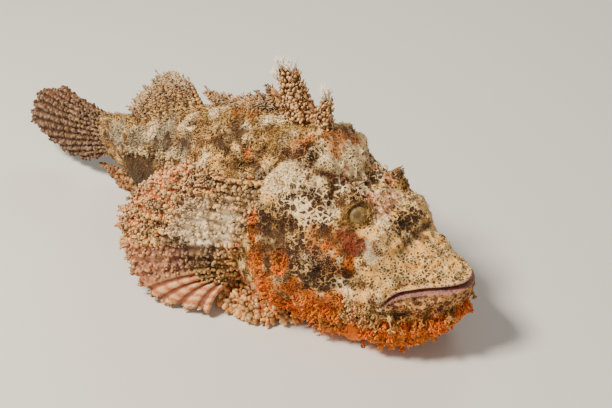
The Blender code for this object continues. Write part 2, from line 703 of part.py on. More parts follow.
def main():
    for obj in list(bpy.data.objects):
        bpy.data.objects.remove(obj)
    hide = colour("mottled skin", (0.45, 0.30, 0.17), 0.75)
    fin_paint = colour("fins", (0.55, 0.27, 0.17), 0.7)
    eye_paint = colour("eyes", (0.22, 0.17, 0.07), 0.15)

    head = flesh("head", GILL_CUT + GAP / 2, SNOUT_START, HEAD_STEPS, hide, SNOUT_STEPS)
    torso = flesh("torso", VENT_CUT + GAP / 2, GILL_CUT - GAP / 2, TORSO_STEPS, hide)
    stalk = flesh("tail_stalk", TAIL_END, VENT_CUT - GAP / 2, STALK_STEPS, hide)
    jaw = copy_of(head, "lower_jaw")
    boolean(jaw, [lip("lower lip", LIP_THICK[1], -LIP_THICK[1] * 0.7)], "UNION")
    boolean(jaw, [mouth_wedge("jaw space")], "INTERSECT")
    features = [lip("upper lip", LIP_THICK[0], MOUTH_OPEN + LIP_THICK[0] * 0.5)]
    for side in (1, -1):
        axis = mirrored(EYE_AXIS, side)
        features.append(ring("eye rim", eye_centre(side) + axis * EYE_DEPTH, axis, *EYE_RIM))
        place, outward, _ = skin_frame(NOSTRIL[0] * MM, math.radians(NOSTRIL[1]))
        features.append(barrel("nostril", mirrored(place, side), mirrored(outward, side), NOSTRIL_PROFILE))
    boolean(head, features, "UNION")
    hollows = [mouth_wedge("mouth", MOUTH_SHUT, MOUTH_OPEN, GAP)]
    for side, word in ((1, "left"), (-1, "right")):
        hollows.append(ball("socket", eye_centre(side), EYE_RADIUS + CUT_GAP))
        ball("eye_" + word, eye_centre(side), EYE_RADIUS, eye_paint)
    boolean(head, hollows, "DIFFERENCE")

    fins = []
    for side, word in ((1, "left"), (-1, "right")):
        fins.append((pectoral_fin("pectoral_fin_" + word, side, fin_paint), True))
        fins.append((pelvic_fin("pelvic_fin_" + word, side, fin_paint), True))
    spiny = upright_fin("dorsal_fin_spiny", midline_root(*SPINY_ROOT, FIN_SINK), SPINE_HEIGHTS, SPINE_LEANS,
                        len(SPINE_HEIGHTS), SPINY_THICK, SPINY_NOTCHES, fin_paint)
    soft = upright_fin("dorsal_fin_soft", midline_root(*SOFT_ROOT, FIN_SINK), SOFT_HEIGHTS, SOFT_LEANS,
                       SOFT_RAYS, FIN_THICK, (0.12, 0.12, 0.12), fin_paint)
    anal = upright_fin("anal_fin", midline_root(*ANAL_ROOT, FIN_SINK, below=True), ANAL_HEIGHTS, ANAL_LEANS,
                       ANAL_RAYS, FIN_THICK, (0.12, 0.12, 0.12), fin_paint, steps=3, below=True)
    fins += [(spiny, False), (soft, False), (anal, True), (caudal_fin("caudal_fin", fin_paint), True)]
    for fin, low in fins:
        trim(fin, grown_body(), low)

    dice = random.Random(SEED)
    boolean(spiny, tuft(dice), "UNION", "MANIFOLD")
    for part in (head, jaw, torso, stalk):
        boolean(part, flaps_on(part.name, dice), "UNION", "MANIFOLD")
    for obj in bpy.data.objects:
        obj.data.shade_smooth()
        obj.data.set_sharp_from_angle(angle=SHARP_FROM)


main()
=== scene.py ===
# %% [markdown]
# # A bearded scorpionfish, lying in wait
#
# The solids of the fish are already made. This lesson dresses them: one skin runs over the head, the jaw,
# the trunk and the tail stalk, and the eyes, the fins and a coat of flaps and warts are grown on it.
# Every surface is worked out with numpy as a grid of points, and every colour comes from shader nodes.

# %% Load the imported solids
import math

import bpy
import numpy as np
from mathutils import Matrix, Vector


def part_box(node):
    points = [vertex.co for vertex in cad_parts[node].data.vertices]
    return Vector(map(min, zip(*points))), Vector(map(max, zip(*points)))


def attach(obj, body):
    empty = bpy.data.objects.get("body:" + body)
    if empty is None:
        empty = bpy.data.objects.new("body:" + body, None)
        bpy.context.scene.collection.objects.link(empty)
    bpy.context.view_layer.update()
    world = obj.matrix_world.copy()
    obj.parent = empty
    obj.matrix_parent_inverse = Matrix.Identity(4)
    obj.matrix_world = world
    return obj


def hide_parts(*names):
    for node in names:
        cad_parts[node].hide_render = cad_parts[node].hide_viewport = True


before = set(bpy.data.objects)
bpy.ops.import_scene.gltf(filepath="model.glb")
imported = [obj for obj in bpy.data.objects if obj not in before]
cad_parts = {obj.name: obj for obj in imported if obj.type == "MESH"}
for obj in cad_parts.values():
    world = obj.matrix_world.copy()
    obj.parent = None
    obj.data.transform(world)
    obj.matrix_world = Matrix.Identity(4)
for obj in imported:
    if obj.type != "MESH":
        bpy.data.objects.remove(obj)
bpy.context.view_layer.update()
MM = 0.001
print("solids:", ", ".join(sorted(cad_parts)))

# %% [markdown]
# ## Noise to break things up
#
# Skin is never even. Noise on a lattice gives each whole-number cell a scrambled number and blends between the cells.
# The same function serves lumps, ragged edges and the borders of colour patches, so it is written once.

# %% Lattice noise
CELL_MIX = np.array([374761393, 668265263, 2147483647], dtype=np.int64)
SEED_STEP, SCRAMBLE, LOW_BITS = 144665, 1274126177, 0xFFFFFF
TURNED = np.array([[0.36, 0.48, -0.80], [-0.80, 0.60, 0.00], [0.48, 0.64, 0.60]])


def cell_number(cells, seed):
    """A number from 0 to 1 for each cell: its three whole numbers are multiplied, added and scrambled bit by bit."""
    n = (cells * CELL_MIX).sum(-1) + seed * SEED_STEP
    n = (n ^ (n >> 13)) * SCRAMBLE
    return ((n ^ (n >> 16)) & LOW_BITS) / LOW_BITS


def noise(points, size, seed=0):
    """Smooth noise from -1 to 1: the eight corners of the cell round a point, blended by 3t^2 - 2t^3 on each axis.

    The lattice is turned, so that its lines don't run along the body.
    """
    scaled = points @ TURNED / size
    low = np.floor(scaled).astype(np.int64)
    t = scaled - low
    t = t * t * (3 - 2 * t)
    total = np.zeros(points.shape[:-1])
    for corner in np.ndindex(2, 2, 2):
        corner = np.array(corner)
        total += np.prod(np.where(corner, t, 1 - t), axis=-1) * cell_number(low + corner, seed)
    return total * 2 - 1


def layered(points, size, seed, layers=3):
    """Noise plus half as much at half the size, and so on."""
    return sum(noise(points, size / 2**k, seed + k) / 2**k for k in range(layers))


def ease(x, low, high):
    """0 below low, 1 above high, and 3t^2 - 2t^3 between."""
    t = np.clip((x - low) / (high - low), 0, 1)
    return t * t * (3 - 2 * t)


print("noise at one point:", noise(np.array([[0.01, 0.02, 0.03]]), 0.005).round(3))

# %% [markdown]
# ## Meshes straight from arrays
#
# A grid of points becomes a mesh by joining each point to its neighbours. foreach_set hands whole arrays to Blender,
# which is many times faster than a Python loop. The sign of the enclosed volume tells whether the faces point outwards.

# %% From arrays to a mesh
def mesh_of(name, points, quads, triangles, values=None, uv=None, paint=None):
    """A smooth mesh object. values holds one number or vector for each point, and uv a place on a flat map."""
    corners = [quads.reshape(-1), triangles.reshape(-1)]
    sizes = np.concatenate([np.full(len(quads), 4), np.full(len(triangles), 3)])
    loops = np.concatenate(corners).astype(np.int32)
    mesh = bpy.data.meshes.new(name)
    mesh.vertices.add(len(points))
    mesh.vertices.foreach_set("co", points.astype(np.float32).ravel())
    mesh.loops.add(len(loops))
    mesh.loops.foreach_set("vertex_index", loops)
    mesh.polygons.add(len(sizes))
    mesh.polygons.foreach_set("loop_start", (np.cumsum(sizes) - sizes).astype(np.int32))
    mesh.polygons.foreach_set("use_smooth", np.ones(len(sizes), bool))
    mesh.update(calc_edges=True)
    for key, value in (values or {}).items():
        kind = "FLOAT_VECTOR" if value.ndim == 2 else "FLOAT"
        field = mesh.attributes.new(key, kind, "POINT")
        field.data.foreach_set("vector" if value.ndim == 2 else "value", value.astype(np.float32).ravel())
    if uv is not None:
        layer = mesh.uv_layers.new(name=uv[0])
        layer.data.foreach_set("uv", uv[1][loops].astype(np.float32).ravel())
    obj = bpy.data.objects.new(name, mesh)
    bpy.context.scene.collection.objects.link(obj)
    if paint:
        mesh.materials.append(paint)
    return obj


def volume_of(points, triangles):
    """Six times the enclosed volume: the sum of each triangle's corners multiplied as a box."""
    a, b, c = (points[triangles[:, k]] for k in range(3))
    return (a * np.cross(b, c)).sum()


def grid_quads(rows, columns, wrap):
    """The four corners of each cell of a grid whose columns may close on themselves."""
    index = np.arange(rows * columns).reshape(rows, columns)
    right = np.roll(index, -1, axis=1) if wrap else index[:, 1:]
    left = index if wrap else index[:, :-1]
    return np.stack([left[:-1], right[:-1], right[1:], left[1:]], -1).reshape(-1, 4)


def outwards(points, quads, triangles):
    """The same faces, turned round if they enclose a negative volume."""
    split = np.concatenate([quads[:, [0, 1, 2]], quads[:, [0, 2, 3]], triangles])
    if volume_of(points, split) < 0:
        return quads[:, ::-1], triangles[:, ::-1]
    return quads, triangles


def unit(v):
    """Vectors made one long."""
    return v / np.maximum(np.linalg.norm(v, axis=-1, keepdims=True), 1e-12)


def grid_normals(points, wrap):
    """Unit normals of a grid of points, from the differences along its two directions."""
    down = np.gradient(points, axis=0)
    if wrap:
        over = (np.roll(points, -1, axis=1) - np.roll(points, 1, axis=1)) / 2
    else:
        over = np.gradient(points, axis=1)
    return unit(np.cross(over, down))


print("a 3 by 4 ring has", len(grid_quads(3, 4, True)), "cells")

# %% [markdown]
# ## The body as one formula
#
# A fish is a tube whose cross section changes along its length. Each section here is a superellipse, a rounded box
# whose corners can be drawn in or out, and a cubic curve joins the sections. These are the same sizes as the solids
# have, so the skin lands on them. The head's forms are bells, each with a place, a reach and a height in millimetres.

# %% Sections of the body
# Station, half width, height of the widest line, top, bottom, and how square it is above and below.
SECTIONS = np.array([
    (-118, 4.5, 32.0, 42.0, 21.0, 2.0, 2.0),
    (-106, 7.0, 31.0, 44.5, 16.0, 2.0, 2.0),
    (-88, 12.0, 30.0, 50.0, 6.5, 2.0, 2.0),
    (-58, 20.5, 30.0, 64.0, 1.0, 1.9, 2.1),
    (-28, 28.0, 31.0, 77.0, -1.5, 1.75, 2.4),
    (0, 33.5, 31.0, 84.0, -2.5, 1.6, 2.6),
    (20, 36.0, 30.0, 76.5, -2.5, 1.55, 2.7),
    (36, 34.5, 29.0, 69.5, -1.5, 1.5, 2.6),
    (52, 30.5, 28.0, 60.0, -0.5, 1.5, 2.5),
    (66, 25.0, 26.5, 50.0, 1.0, 1.45, 2.4),
    (78, 19.0, 27.0, 44.0, 5.0, 1.5, 2.3),
    (93, 14.0, 29.0, 39.0, 12.0, 1.7, 2.2),
]) * [MM, MM, MM, MM, MM, 1, 1]
TAIL_END = -118 * MM
SNOUT_START = 74 * MM
LIP_TIP = 93.5 * MM
LIP_HEIGHT = 35.0 * MM
GILL_CUT = 10 * MM
GILL_LEAN = 0.30
GILL_LEAN_SPAN = 30 * MM
LEAN_HEIGHT = 30 * MM
FORMS = (
    ("brow", (51, 15, 62), 8.0, 5.5),
    ("brow front", (62, 13, 50), 7.5, 8.0),
    ("between the eyes", (56, 0, 59), 6.0, -2.0),
    ("pit behind the eyes", (41, 0, 68), 6.0, -5.0),
    ("nape hump", (30, 0, 77), 8.0, 2.0),
    ("nape ridge", (30, 13, 74), 6.0, 3.0),
    ("temple ridge", (20, 21, 72), 8.0, 3.5),
    ("temple pit", (38, 20, 65), 6.0, -2.5),
    ("nose", (78, 7, 45), 6.0, 2.0),
    ("pit under the eye", (55, 23, 50), 5.0, -3.5),
    ("ridge under the eye", (63, 23, 45), 6.0, 3.0),
    ("ridge on the cheek", (48, 30, 45), 6.5, 3.0),
    ("cheek plate", (38, 34, 40), 7.0, 2.5),
    ("gill plate corner", (26, 37, 26), 8.0, 2.6),
    ("hollow behind the cheek", (22, 34, 50), 7.0, -3.4),
    ("hollow of the cheek", (56, 29, 33), 7.0, -2.0),
    ("jaw corner", (68, 24, 28), 6.0, 1.8),
)


def smooth_between(table, at):
    """Cubic curves through the rows of a table; the slope at a row is its neighbours'."""
    places, rows = table[:, 0], table[:, 1:]
    slopes = np.gradient(rows, places, axis=0)
    at = np.clip(np.asarray(at, float), places[0], places[-1])
    i = np.clip(np.searchsorted(places, at) - 1, 0, len(places) - 2)
    step = (places[i + 1] - places[i])[..., None]
    t = (at - places[i])[..., None] / step
    return (
        (2 * t**3 - 3 * t**2 + 1) * rows[i]
        + (t**3 - 2 * t**2 + t) * step * slopes[i]
        + (3 * t**2 - 2 * t**3) * rows[i + 1]
        + (t**3 - t**2) * step * slopes[i + 1]
    )


def superellipse(c, power):
    """A cosine or sine drawn towards the corners of its box; power 2 leaves it as it is."""
    return np.sign(c) * np.abs(c) ** (2 / power)


def plain_skin(s, a):
    """The body without the head's forms: a superellipse about the widest line, at station s and angle a."""
    s, a = np.broadcast_arrays(np.asarray(s, float), np.asarray(a, float))
    width, middle, top, bottom, square_top, square_low = np.moveaxis(smooth_between(SECTIONS, s), -1, 0)
    closing = np.clip((s - SNOUT_START) / (LIP_TIP - SNOUT_START), 0, 1)
    cap = np.sqrt(np.clip(1 - closing**2, 0, 1))
    upper = np.sin(a) >= 0
    power = np.where(upper, square_top, square_low)
    height = np.where(upper, top - middle, middle - bottom)
    middle = middle + (LIP_HEIGHT - middle) * closing**2
    y = width * cap**0.8 * superellipse(np.cos(a), power)
    z = middle + height * cap * superellipse(np.sin(a), power)
    lean = GILL_LEAN * np.exp(-(((s - GILL_CUT) / GILL_LEAN_SPAN) ** 2))
    return np.stack([s + lean * (z - LEAN_HEIGHT), y, np.maximum(z, 0)], -1)


def middle_line(points):
    """For each point, the place at its station on a line along the body's middle."""
    return points * [1, 0, 0] + [0, 0, LEAN_HEIGHT]


def skin(s, a):
    """The body with the head's forms: each is a bell of its height, added along the line from the section's middle."""
    point = plain_skin(s, a)
    out = unit(point - middle_line(point))
    moved = np.zeros(point.shape[:-1])
    for _, place, reach, height in FORMS:
        for side in (1, -1) if place[1] else (1,):
            away = np.linalg.norm(point - np.array(place) * [MM, side * MM, MM], axis=-1) / (reach * MM)
            moved += height * MM * np.exp(-(away**2))
    point = point + out * moved[..., None]
    point[..., 2] = np.maximum(point[..., 2], 0)
    return point


print("top of the back at the gills:", (skin(GILL_CUT, math.pi / 2) / MM).round(1), "mm")

# %% [markdown]
# ## The fine skin
#
# The real skin has lids round small deep-set eyes, thick lips, tubes for nostrils, a loose edge to the gill cover and
# bony ridges with knobs. Each is a bump or a groove whose depth depends on how far a point lies from a line, a ring
# or a place, so all of them add up in one array. The mouth is a groove pressed inwards along a slanting plane.
# The tables are in millimetres.

# %% Relief of the head
MOUTH_LINE = np.array([(65, 24), (70, 29.6), (78, 32.8), (88, 34.9), (98, 36.0)]) * MM
MOUTH_CORNER = 66.5 * MM
MOUTH_LIFT = 0.7 * MM
SLIT_HALF, SLIT_DEPTH = 0.42 * MM, 7 * MM
# How far out each goes, its height over the mouth's line and its reach: the two lips, then a groove past each.
MOUTH_BELLS = ((1.0, 1.4, 0.85), (0.8, -1.2, 0.68), (-0.7, 3.0, 0.9), (-0.7, -2.6, 0.9))
MOUTH_CALM = 2.6 * MM
EYE_AXIS = np.array([0.35, 0.75, 0.56])
EYE_AXIS /= np.linalg.norm(EYE_AXIS)
LID_RADIUS, LID_RISE, LID_REACH = 3.7 * MM, 3.1 * MM, 1.25 * MM
EYE_HOLE, EYE_DEPTH, EYE_CALM = 2.7 * MM, 3.0 * MM, 4.6 * MM
# Place, radius of the rim and its rise.
NOSTRILS = (((72.5, 10.5, 44.5), 1.5, 1.5), ((66.0, 11.0, 49.0), 1.2, 1.1))
NOSTRIL_RIM, NOSTRIL_PIT, NOSTRIL_DEPTH = 0.7 * MM, 0.8 * MM, 1.2 * MM
# Rise, size, seed and layers of the lumps all over, and share, size and seed of the raised nets.
LUMPS = ((0.9, 10, 3, 3), (0.35, 3.2, 7, 2))
NETS = ((1.0, 3.4, 41), (0.7, 2.0, 43))
NET_STEEP = 2.2
# Start, end, reach and rise.
RIDGES = (
    ((84, 10, 42), (60, 22, 44), 2.4, 1.1),
    ((60, 22, 44), (36, 33, 43), 2.6, 1.8),
    ((44, 10, 68), (22, 14, 79), 3.0, 1.8),
    ((40, 19, 66), (16, 24, 68), 3.0, 2.0),
    ((30, 36, 36), (22, 37, 20), 2.6, 1.6),
    ((62, 10, 56), (72, 6, 49), 2.2, 0.9),
    ((66, 24, 30), (42, 33, 27), 2.8, 1.4),
    ((68, 18.5, 5.5), (42, 27, 6), 4.2, 3.2),
    ((-92.8, 10.2, 35.2), (-70.6, 14.4, 44.5), 1.6, 1.3),
    ((-70.6, 14.4, 44.5), (-49, 18.2, 51.6), 1.6, 1.5),
    ((-49, 18.2, 51.6), (-21, 22.7, 56.8), 1.8, 1.3),
)
# The places along a fold, its reach and its depth.
CREASES = (
    (((13.3, 16.1, 74.4), (19.9, 16.3, 74.6), (24.7, 16, 73.3), (26.3, 12, 76.6)), 2.2, 2.6),
    (((0.6, 15.8, 72.9), (-1.8, 20.5, 66.2), (-10, 21.2, 63.2), (-19, 17.5, 66.3), (-21.1, 10.2, 73.5)), 2.2, 2.2),
    (((24.7, 16, 73.3), (32, 14, 71), (38, 11, 69), (42, 4, 68)), 2.4, 1.8),
    (((21, 33, 50), (19, 35, 42), (20, 36, 34)), 3.0, 1.4),
    (((66, 12, 47), (68, 4, 49.5), (69, 0, 49.5)), 2.2, 1.2),
    (
        ((65, 26, 24.5), (69.5, 24.5, 24.8), (74.4, 20.8, 23.5), (79.5, 17.7, 24.5), (84.2, 14.5, 26.1),
         (88, 11, 28.5)), 1.0, 0.8,
    ),
)
KNOBS = (
    (58, 23, 46), (50, 28, 46), (43, 31, 45), (36, 33, 43), (45, 9, 67), (33, 12, 75), (22, 14, 80), (33, 22, 68),
    (24, 24, 70), (15, 25, 67), (30, 36, 36), (27, 38, 28), (22, 37, 20), (60, 10, 57), (68, 8, 51), (50, 20, 62),
)
KNOB_REACH = 1.9
KNOB_RISE = 1.4
# Height and station.
GILL_EDGE = MM * np.array([
    (15, 21), (32.5, 14.7), (40, 7.3), (51, -0.1), (58.5, -2.4), (65, -1.6), (72, 1.4), (75, 7.3),
])
# Size, place behind the edge and reach, of the raised edge, of the groove and of the painted shade in it.
GILL_BELLS = ((2.0, -2.4, 2.6), (2.4, 1.2, 1.3), (1.0, 1.0, 1.4))


eye_low, eye_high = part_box("eye_left")
eye_middle = np.array((eye_low + eye_high) / 2)
eye_radius = (eye_high.z - eye_low.z) / 2


def one_side(points):
    """The points with the right half of the fish folded onto the left."""
    return points * [1, 0, 1] + np.abs(points * [0, 1, 0])


def bell(distance, reach):
    """1 at distance 0, falling off as exp(-(distance / reach)^2)."""
    return np.exp(-((distance / reach) ** 2))


def from_place(points, place):
    """How far each point is from a place given in millimetres."""
    return np.linalg.norm(points - np.array(place) * MM, axis=-1)


def from_line(points, start, end):
    """How far each point is from the straight line between two places given in millimetres."""
    start, end = np.array(start) * MM, np.array(end) * MM
    along = np.clip(((points - start) @ (end - start)) / ((end - start) @ (end - start)), 0, 1)
    return np.linalg.norm(points - start - along[..., None] * (end - start), axis=-1)


def from_parts(points, line):
    """How far each point is from every straight part of a line through several places."""
    return [from_line(points, start, end) for start, end in zip(line[:-1], line[1:])]


def over_mouth(points):
    """How far above the mouth's line each point is, and 0 to 1 for how far ahead of the corner."""
    line = smooth_between(MOUTH_LINE, points[..., 0])[..., 0]
    ahead = ease(points[..., 0], MOUTH_CORNER - 1.5 * MM, MOUTH_CORNER + 6 * MM)
    return points[..., 2] - line - MOUTH_LIFT * ahead, ahead


def crust(points):
    """Raised threads: where a noise crosses zero its distance from zero is small, so 1 - |noise| makes a net."""
    nets = ((share, np.abs(noise(points, size * MM, seed))) for share, size, seed in NETS)
    return sum(share * np.clip(1 - NET_STEEP * off, 0, 1) for share, off in nets)


def in_creases(points):
    """How deep each point lies in a fold, and 0 to 1 for how near it is to the fold's line, for painted shade."""
    half = one_side(points)
    deep, near = np.zeros(points.shape[:-1]), np.zeros(points.shape[:-1])
    for line, reach, depth in CREASES:
        away = np.min(from_parts(half, line), axis=0)
        deep = np.maximum(deep, depth * MM * bell(away, reach * MM))
        near = np.maximum(near, bell(away, 0.6 * reach * MM))
    return deep, near


def relief(points):
    """Height of everything that stands out of the plain skin or is sunk in it, in metres along the normal."""
    half = one_side(points)
    high = sum(rise * MM * layered(points, size * MM, seed, layers) for rise, size, seed, layers in LUMPS)
    head = ease(points[..., 0], -4 * MM, 14 * MM)
    knobbly = 1 + 0.5 * noise(points, 3.5 * MM, 21)
    for start, end, reach, rise in RIDGES:
        high += rise * MM * knobbly * bell(from_line(half, start, end), reach * MM)
    for place in KNOBS:
        high += KNOB_RISE * MM * bell(from_place(half, place), KNOB_REACH * MM)
    high += (0.25 + 0.45 * head) * MM * crust(points)
    high -= in_creases(points)[0] * (1 + 0.3 * noise(points, 4 * MM, 91))
    lift, ahead = over_mouth(points)
    high *= 1 - ahead * bell(lift, MOUTH_CALM)
    for rise, place, reach in MOUTH_BELLS:
        high += rise * MM * ahead * bell(lift - place * MM, reach * MM)
    across = half - eye_middle
    along = across @ EYE_AXIS
    off_axis = np.linalg.norm(across - along[..., None] * EYE_AXIS, axis=-1)
    facing = ease(along, -3 * MM, 0)
    hood = 0.72 + 0.53 * ease(across[..., 2], -2.5 * MM, 3 * MM) + 0.2 * noise(points, 2 * MM, 71)
    high *= 1 - facing * bell(off_axis, EYE_CALM)
    high += facing * LID_RISE * hood * bell(off_axis - LID_RADIUS, LID_REACH)
    high -= facing * EYE_DEPTH * ease(-off_axis, -EYE_HOLE - 0.3 * MM, -EYE_HOLE + 0.5 * MM)
    for place, ring, rise in NOSTRILS:
        away = from_place(half, place)
        high += rise * MM * bell(away - ring * MM, NOSTRIL_RIM) - NOSTRIL_DEPTH * bell(away, NOSTRIL_PIT)
    return high


def gill_edge(s, points):
    """The height of the gill cover's loose edge, with a groove behind it, and how much painted shade lies there."""
    behind = np.interp(points[..., 2], GILL_EDGE[:, 0], GILL_EDGE[:, 1]) - s
    there = ease(points[..., 2], 5 * MM, 14 * MM) * ease(-points[..., 2], -82 * MM, -75 * MM)
    raised, groove, dark = (size * bell(behind - place * MM, reach * MM) for size, place, reach in GILL_BELLS)
    return there * (raised - groove) * MM, there * dark


print("eye", (eye_middle / MM).round(1), "mm, radius", round(eye_radius / MM, 2), "mm")

# %% [markdown]
# The grid of the skin has a row for each station and a column for each angle. The head gets closer rows than the
# trunk, because the eye of the viewer rests there. The rows of the snout bunch up towards the tip as a quarter
# circle's do, and one point closes each end.

# %% Grid of the skin
THROAT_PLACE = np.array([62 * MM, 0, 0])
COLUMNS = 308
TRUNK_ROWS, HEAD_ROWS, SNOUT_ROWS = 128, 112, 70
stations = np.concatenate([
    np.linspace(TAIL_END, GILL_CUT, TRUNK_ROWS, endpoint=False),
    np.linspace(GILL_CUT, SNOUT_START, HEAD_ROWS, endpoint=False),
    SNOUT_START + (LIP_TIP - SNOUT_START) * np.sin(np.linspace(0, 0.496 * math.pi, SNOUT_ROWS)),
])
angles = np.linspace(0, 2 * math.pi, COLUMNS, endpoint=False)
plain = skin(stations[:, None], angles[None, :])
plain_out = grid_normals(plain, wrap=True)
plain_out *= np.sign(((plain - middle_line(plain)) * plain_out).sum(-1).mean())
gill_height, gill_groove_shade = gill_edge(stations[:, None], plain)
heights = relief(plain) + gill_height
on_floor = ease(plain[..., 2], 0, 3 * MM)
body = plain + plain_out * (heights * on_floor)[..., None]
slit_lift, slit_ahead = over_mouth(plain)
slit = slit_ahead / (1 + (slit_lift / (SLIT_HALF * (0.5 + 0.7 * slit_ahead))) ** 4)
inwards = unit((THROAT_PLACE - body) * [1, 1, 0])
body = body + inwards * (slit * SLIT_DEPTH)[..., None]
body[..., 2] = np.maximum(body[..., 2], 0)
body_out = grid_normals(body, wrap=True)
body_out *= np.sign((plain_out * body_out).sum(-1).mean())


BLUR_PASSES = 70


def blurred(field, passes):
    """Each pass takes the mean of a point and its four neighbours, round the ring and along the body."""
    for _ in range(passes):
        longer = np.concatenate([field[:1], field, field[-1:]])
        field = (field + longer[:-2] + longer[2:] + np.roll(field, 1, axis=1) + np.roll(field, -1, axis=1)) / 5
    return field


proud = ((body - blurred(body, BLUR_PASSES)) * body_out).sum(-1)
print("skin grid", body.shape[:2], "stands proud of its own blur by up to", round(proud.max() / MM, 1), "mm")

# %% [markdown]
# ## Where each colour lies
#
# A scorpionfish wears the colours of a reef wall: a pale nape, an orange beard and a grey tail. The skin's hollows are
# painted darker as shade, and its crests paler as highlight. The patches have ragged borders. Each patch here is a
# ball at a place on the body, in millimetres, and noise pushes its border in and out. The shares of all tones go into
# the mesh, and the shader mixes its colours by them, so the flaps that grow on a patch can wear the same tone.

# %% Patches of tone
PATCHES = {
    "pale": (
        (36, 4, 74, 9.5), (31, 9, 75, 7), (34, 4, 76, 7), (38, 2, 71, 6), (20, 19, 72, 8), (12, 22, 65, 6),
        (59, 13, 50, 4), (57, 18, 46, 4), (-36, 3, 73, 4.5), (-50, 8, 64, 6), (40, 13, 68, 5), (-77, 7, 51, 6),
        (-30, 22, 58, 4), (52, 29, 33, 4), (28, 26, 60, 7), (38, 22, 60, 5), (30, 18, 68, 5), (-14, 10, 76, 3),
        (-4, 6, 81, 4), (1, 2, 83, 4), (33, 16, 65, 1.8), (66, 5, 50, 2), (51, 2, 61, 4), (55, 7, 58, 4),
        (56, 10, 57, 3), (45, 7, 65, 3),
    ),
    "peach": (
        (65, 17, 40, 11), (74, 3, 46, 9), (84, 4, 41, 9), (80, 14, 36, 8), (47, 31, 36, 5), (58, 27, 28, 6),
        (17, 22, 68, 7), (90, 6, 37, 6), (76, 10, 43, 8), (30, 27, 57, 6), (54, 15, 56, 6), (12, 25, 62, 5),
        (62, 14, 50, 5), (55, 5, 57, 5), (36, 30, 52, 5), (47, 7, 63, 5), (53, 9, 59, 5), (59, 7, 56, 4),
        (-15, 17, 67, 4), (-24, 20, 60, 6), (8, 20, 70, 5),
    ),
    "pink": ((53, 4, 61, 4.5), (56, 8, 61, 3.5), (57, 27, 22, 5), (49, 8, 64, 3), (20, 36, 14, 6), (5, 32, 12, 7)),
    "rust": (
        (47, 24, 51, 5), (43, 26, 51, 5.5), (50, 24, 46, 5), (40, 29, 46, 5), (45, 29, 43, 5), (52, 27, 40, 4),
        (36, 28, 51, 4), (18, 13, 77, 4.5), (27, 2, 81, 4.5), (30, 6, 78, 3.2), (-14, 5, 80, 3.0), (-24, 4, 77, 2.4),
    ),
    "orange": (
        (42, 27, 47, 1.8), (47, 27, 45, 2.4), (52, 25, 43, 3.0), (24, 34, 39, 3.0), (7, 30, 50, 3.6),
        (8, 31, 46, 4.2), (9, 32, 42, 4.2), (13, 34, 37, 4.6), (11, 35, 30, 6.5), (27, 36, 35, 4.5), (31, 37, 28, 7),
        (22, 38, 22, 8), (46, 32, 20, 8), (38, 34, 14, 8), (40, 34, 25, 5), (48, 31, 27, 4.5), (24, 37, 13, 8),
        (60, 25, 13, 9), (68, 22, 14, 9), (76, 17, 15, 9), (84, 12, 17, 9), (91, 5, 20, 8), (31, 29, 7, 8),
        (18, 8, 80, 2.2), (1, 25, 59, 2.2), (-30, 25, 50, 2.0), (52, 24, 7, 10), (62, 20, 5, 9), (42, 27, 6, 8),
        (70, 12, 6, 10), (84, 2, 12, 9), (-6, 18, 69, 1.8), (33, 33, 16, 8),
    ),
    "olive": (
        (50, 11, 60, 3), (58, 14, 53, 4), (12, 29, 51, 6), (16, 29, 49, 6), (8, 28, 54, 5), (-4, 8, 80, 7),
        (-11, 20, 64, 6), (4, 15, 75, 6), (30, 33, 47, 4), (66, 8, 50, 4), (11, 11, 80, 6), (7, 8, 81, 6),
        (-14, 8, 79, 7), (-26, 8, 75, 6), (-6, 15, 75, 5), (-38, 8, 70, 5),
    ),
    "grey": (
        (6, 23, 64, 5), (-62, 13, 53, 10), (-46, 17, 55, 7), (-75, 10, 52, 8), (0, 27, 52, 6), (-84, 10, 46, 9),
        (-103, 5, 38, 9), (-38, 26, 38, 10),
    ),
    # Dark markings, and painted shade in pits and recesses.
    "dark": (
        (43, 4, 66, 3.4), (63, 2, 52, 3), (67, 6, 49, 2.2), (70, 1, 48, 2.4), (20, 33, 44, 6), (18, 34, 38, 4.5),
        (14, 32, 45, 4), (16, 33, 41, 4), (13, 31, 48, 3), (43, 33, 35, 5.5), (38, 34, 35, 4.5),
        (-22.5, 15.5, 68, 5.4), (-19, 12, 72, 5.5), (-15, 13, 73, 4), (-18, 9, 75, 3), (21, 33, 40, 4.5),
        (1, 21, 66, 2.5), (-44, 15, 59, 4), (-12, 33, 30, 7), (34, 22, 62, 2.5), (-60, 14, 53, 5), (-68, 13, 48, 4),
        (-36, 17, 62, 3), (-14, 12, 76, 2.2), (-28, 12, 71, 2.4), (-9, 17, 70, 2.2), (-46, 8, 66, 2.6),
    ),
    "maroon": (
        (51, 21, 47, 4.2), (49, 20, 50, 3.4), (54, 19, 49, 2.8), (45, 21, 52, 2.4), (37, 9, 69.5, 2.2),
        (36, 6, 71.5, 1.8), (34, 12, 70, 1.6), (60, 19, 51, 1.8), (40, 8, 67, 1.8),
    ),
    "mist": ((59, 20, 47.5, 2.4), (56, 18.6, 50.3, 1.5), (60, 20, 47, 2.4)),
    "holes": (
        (26, 24, 60, 9), (26, 27, 54, 8), (33, 22, 62, 7), (33, 23, 57, 7), (37, 22, 56, 5), (38, 14, 67, 6),
        (43, 32, 36, 9), (52, 30, 34, 6), (30, 32, 46, 6), (45, 8, 64, 6), (22, 12, 77, 6), (38, 33, 42, 6),
        (62, 4, 54, 6), (13, 29, 50, 6), (35, 34, 40, 6), (48, 29, 41, 5),
    ),
    "spots": ((86, 12, 29, 6), (80, 17, 28, 6), (74, 21, 27, 6), (91, 5, 29, 6)),
    "bare": ((54, 22, 5, 8), (44, 26, 5, 7), (63, 19, 5, 7)),
}
TONES = tuple(PATCHES) + ("saddle", "lip", "slit", "hollow", "lit_crest")
RAGGED = 0.5
SADDLE_TOP = np.array([(-97, 31), (-92.8, 35.2), (-70.6, 44.5), (-48.9, 51.6), (-40, 53)]) * MM


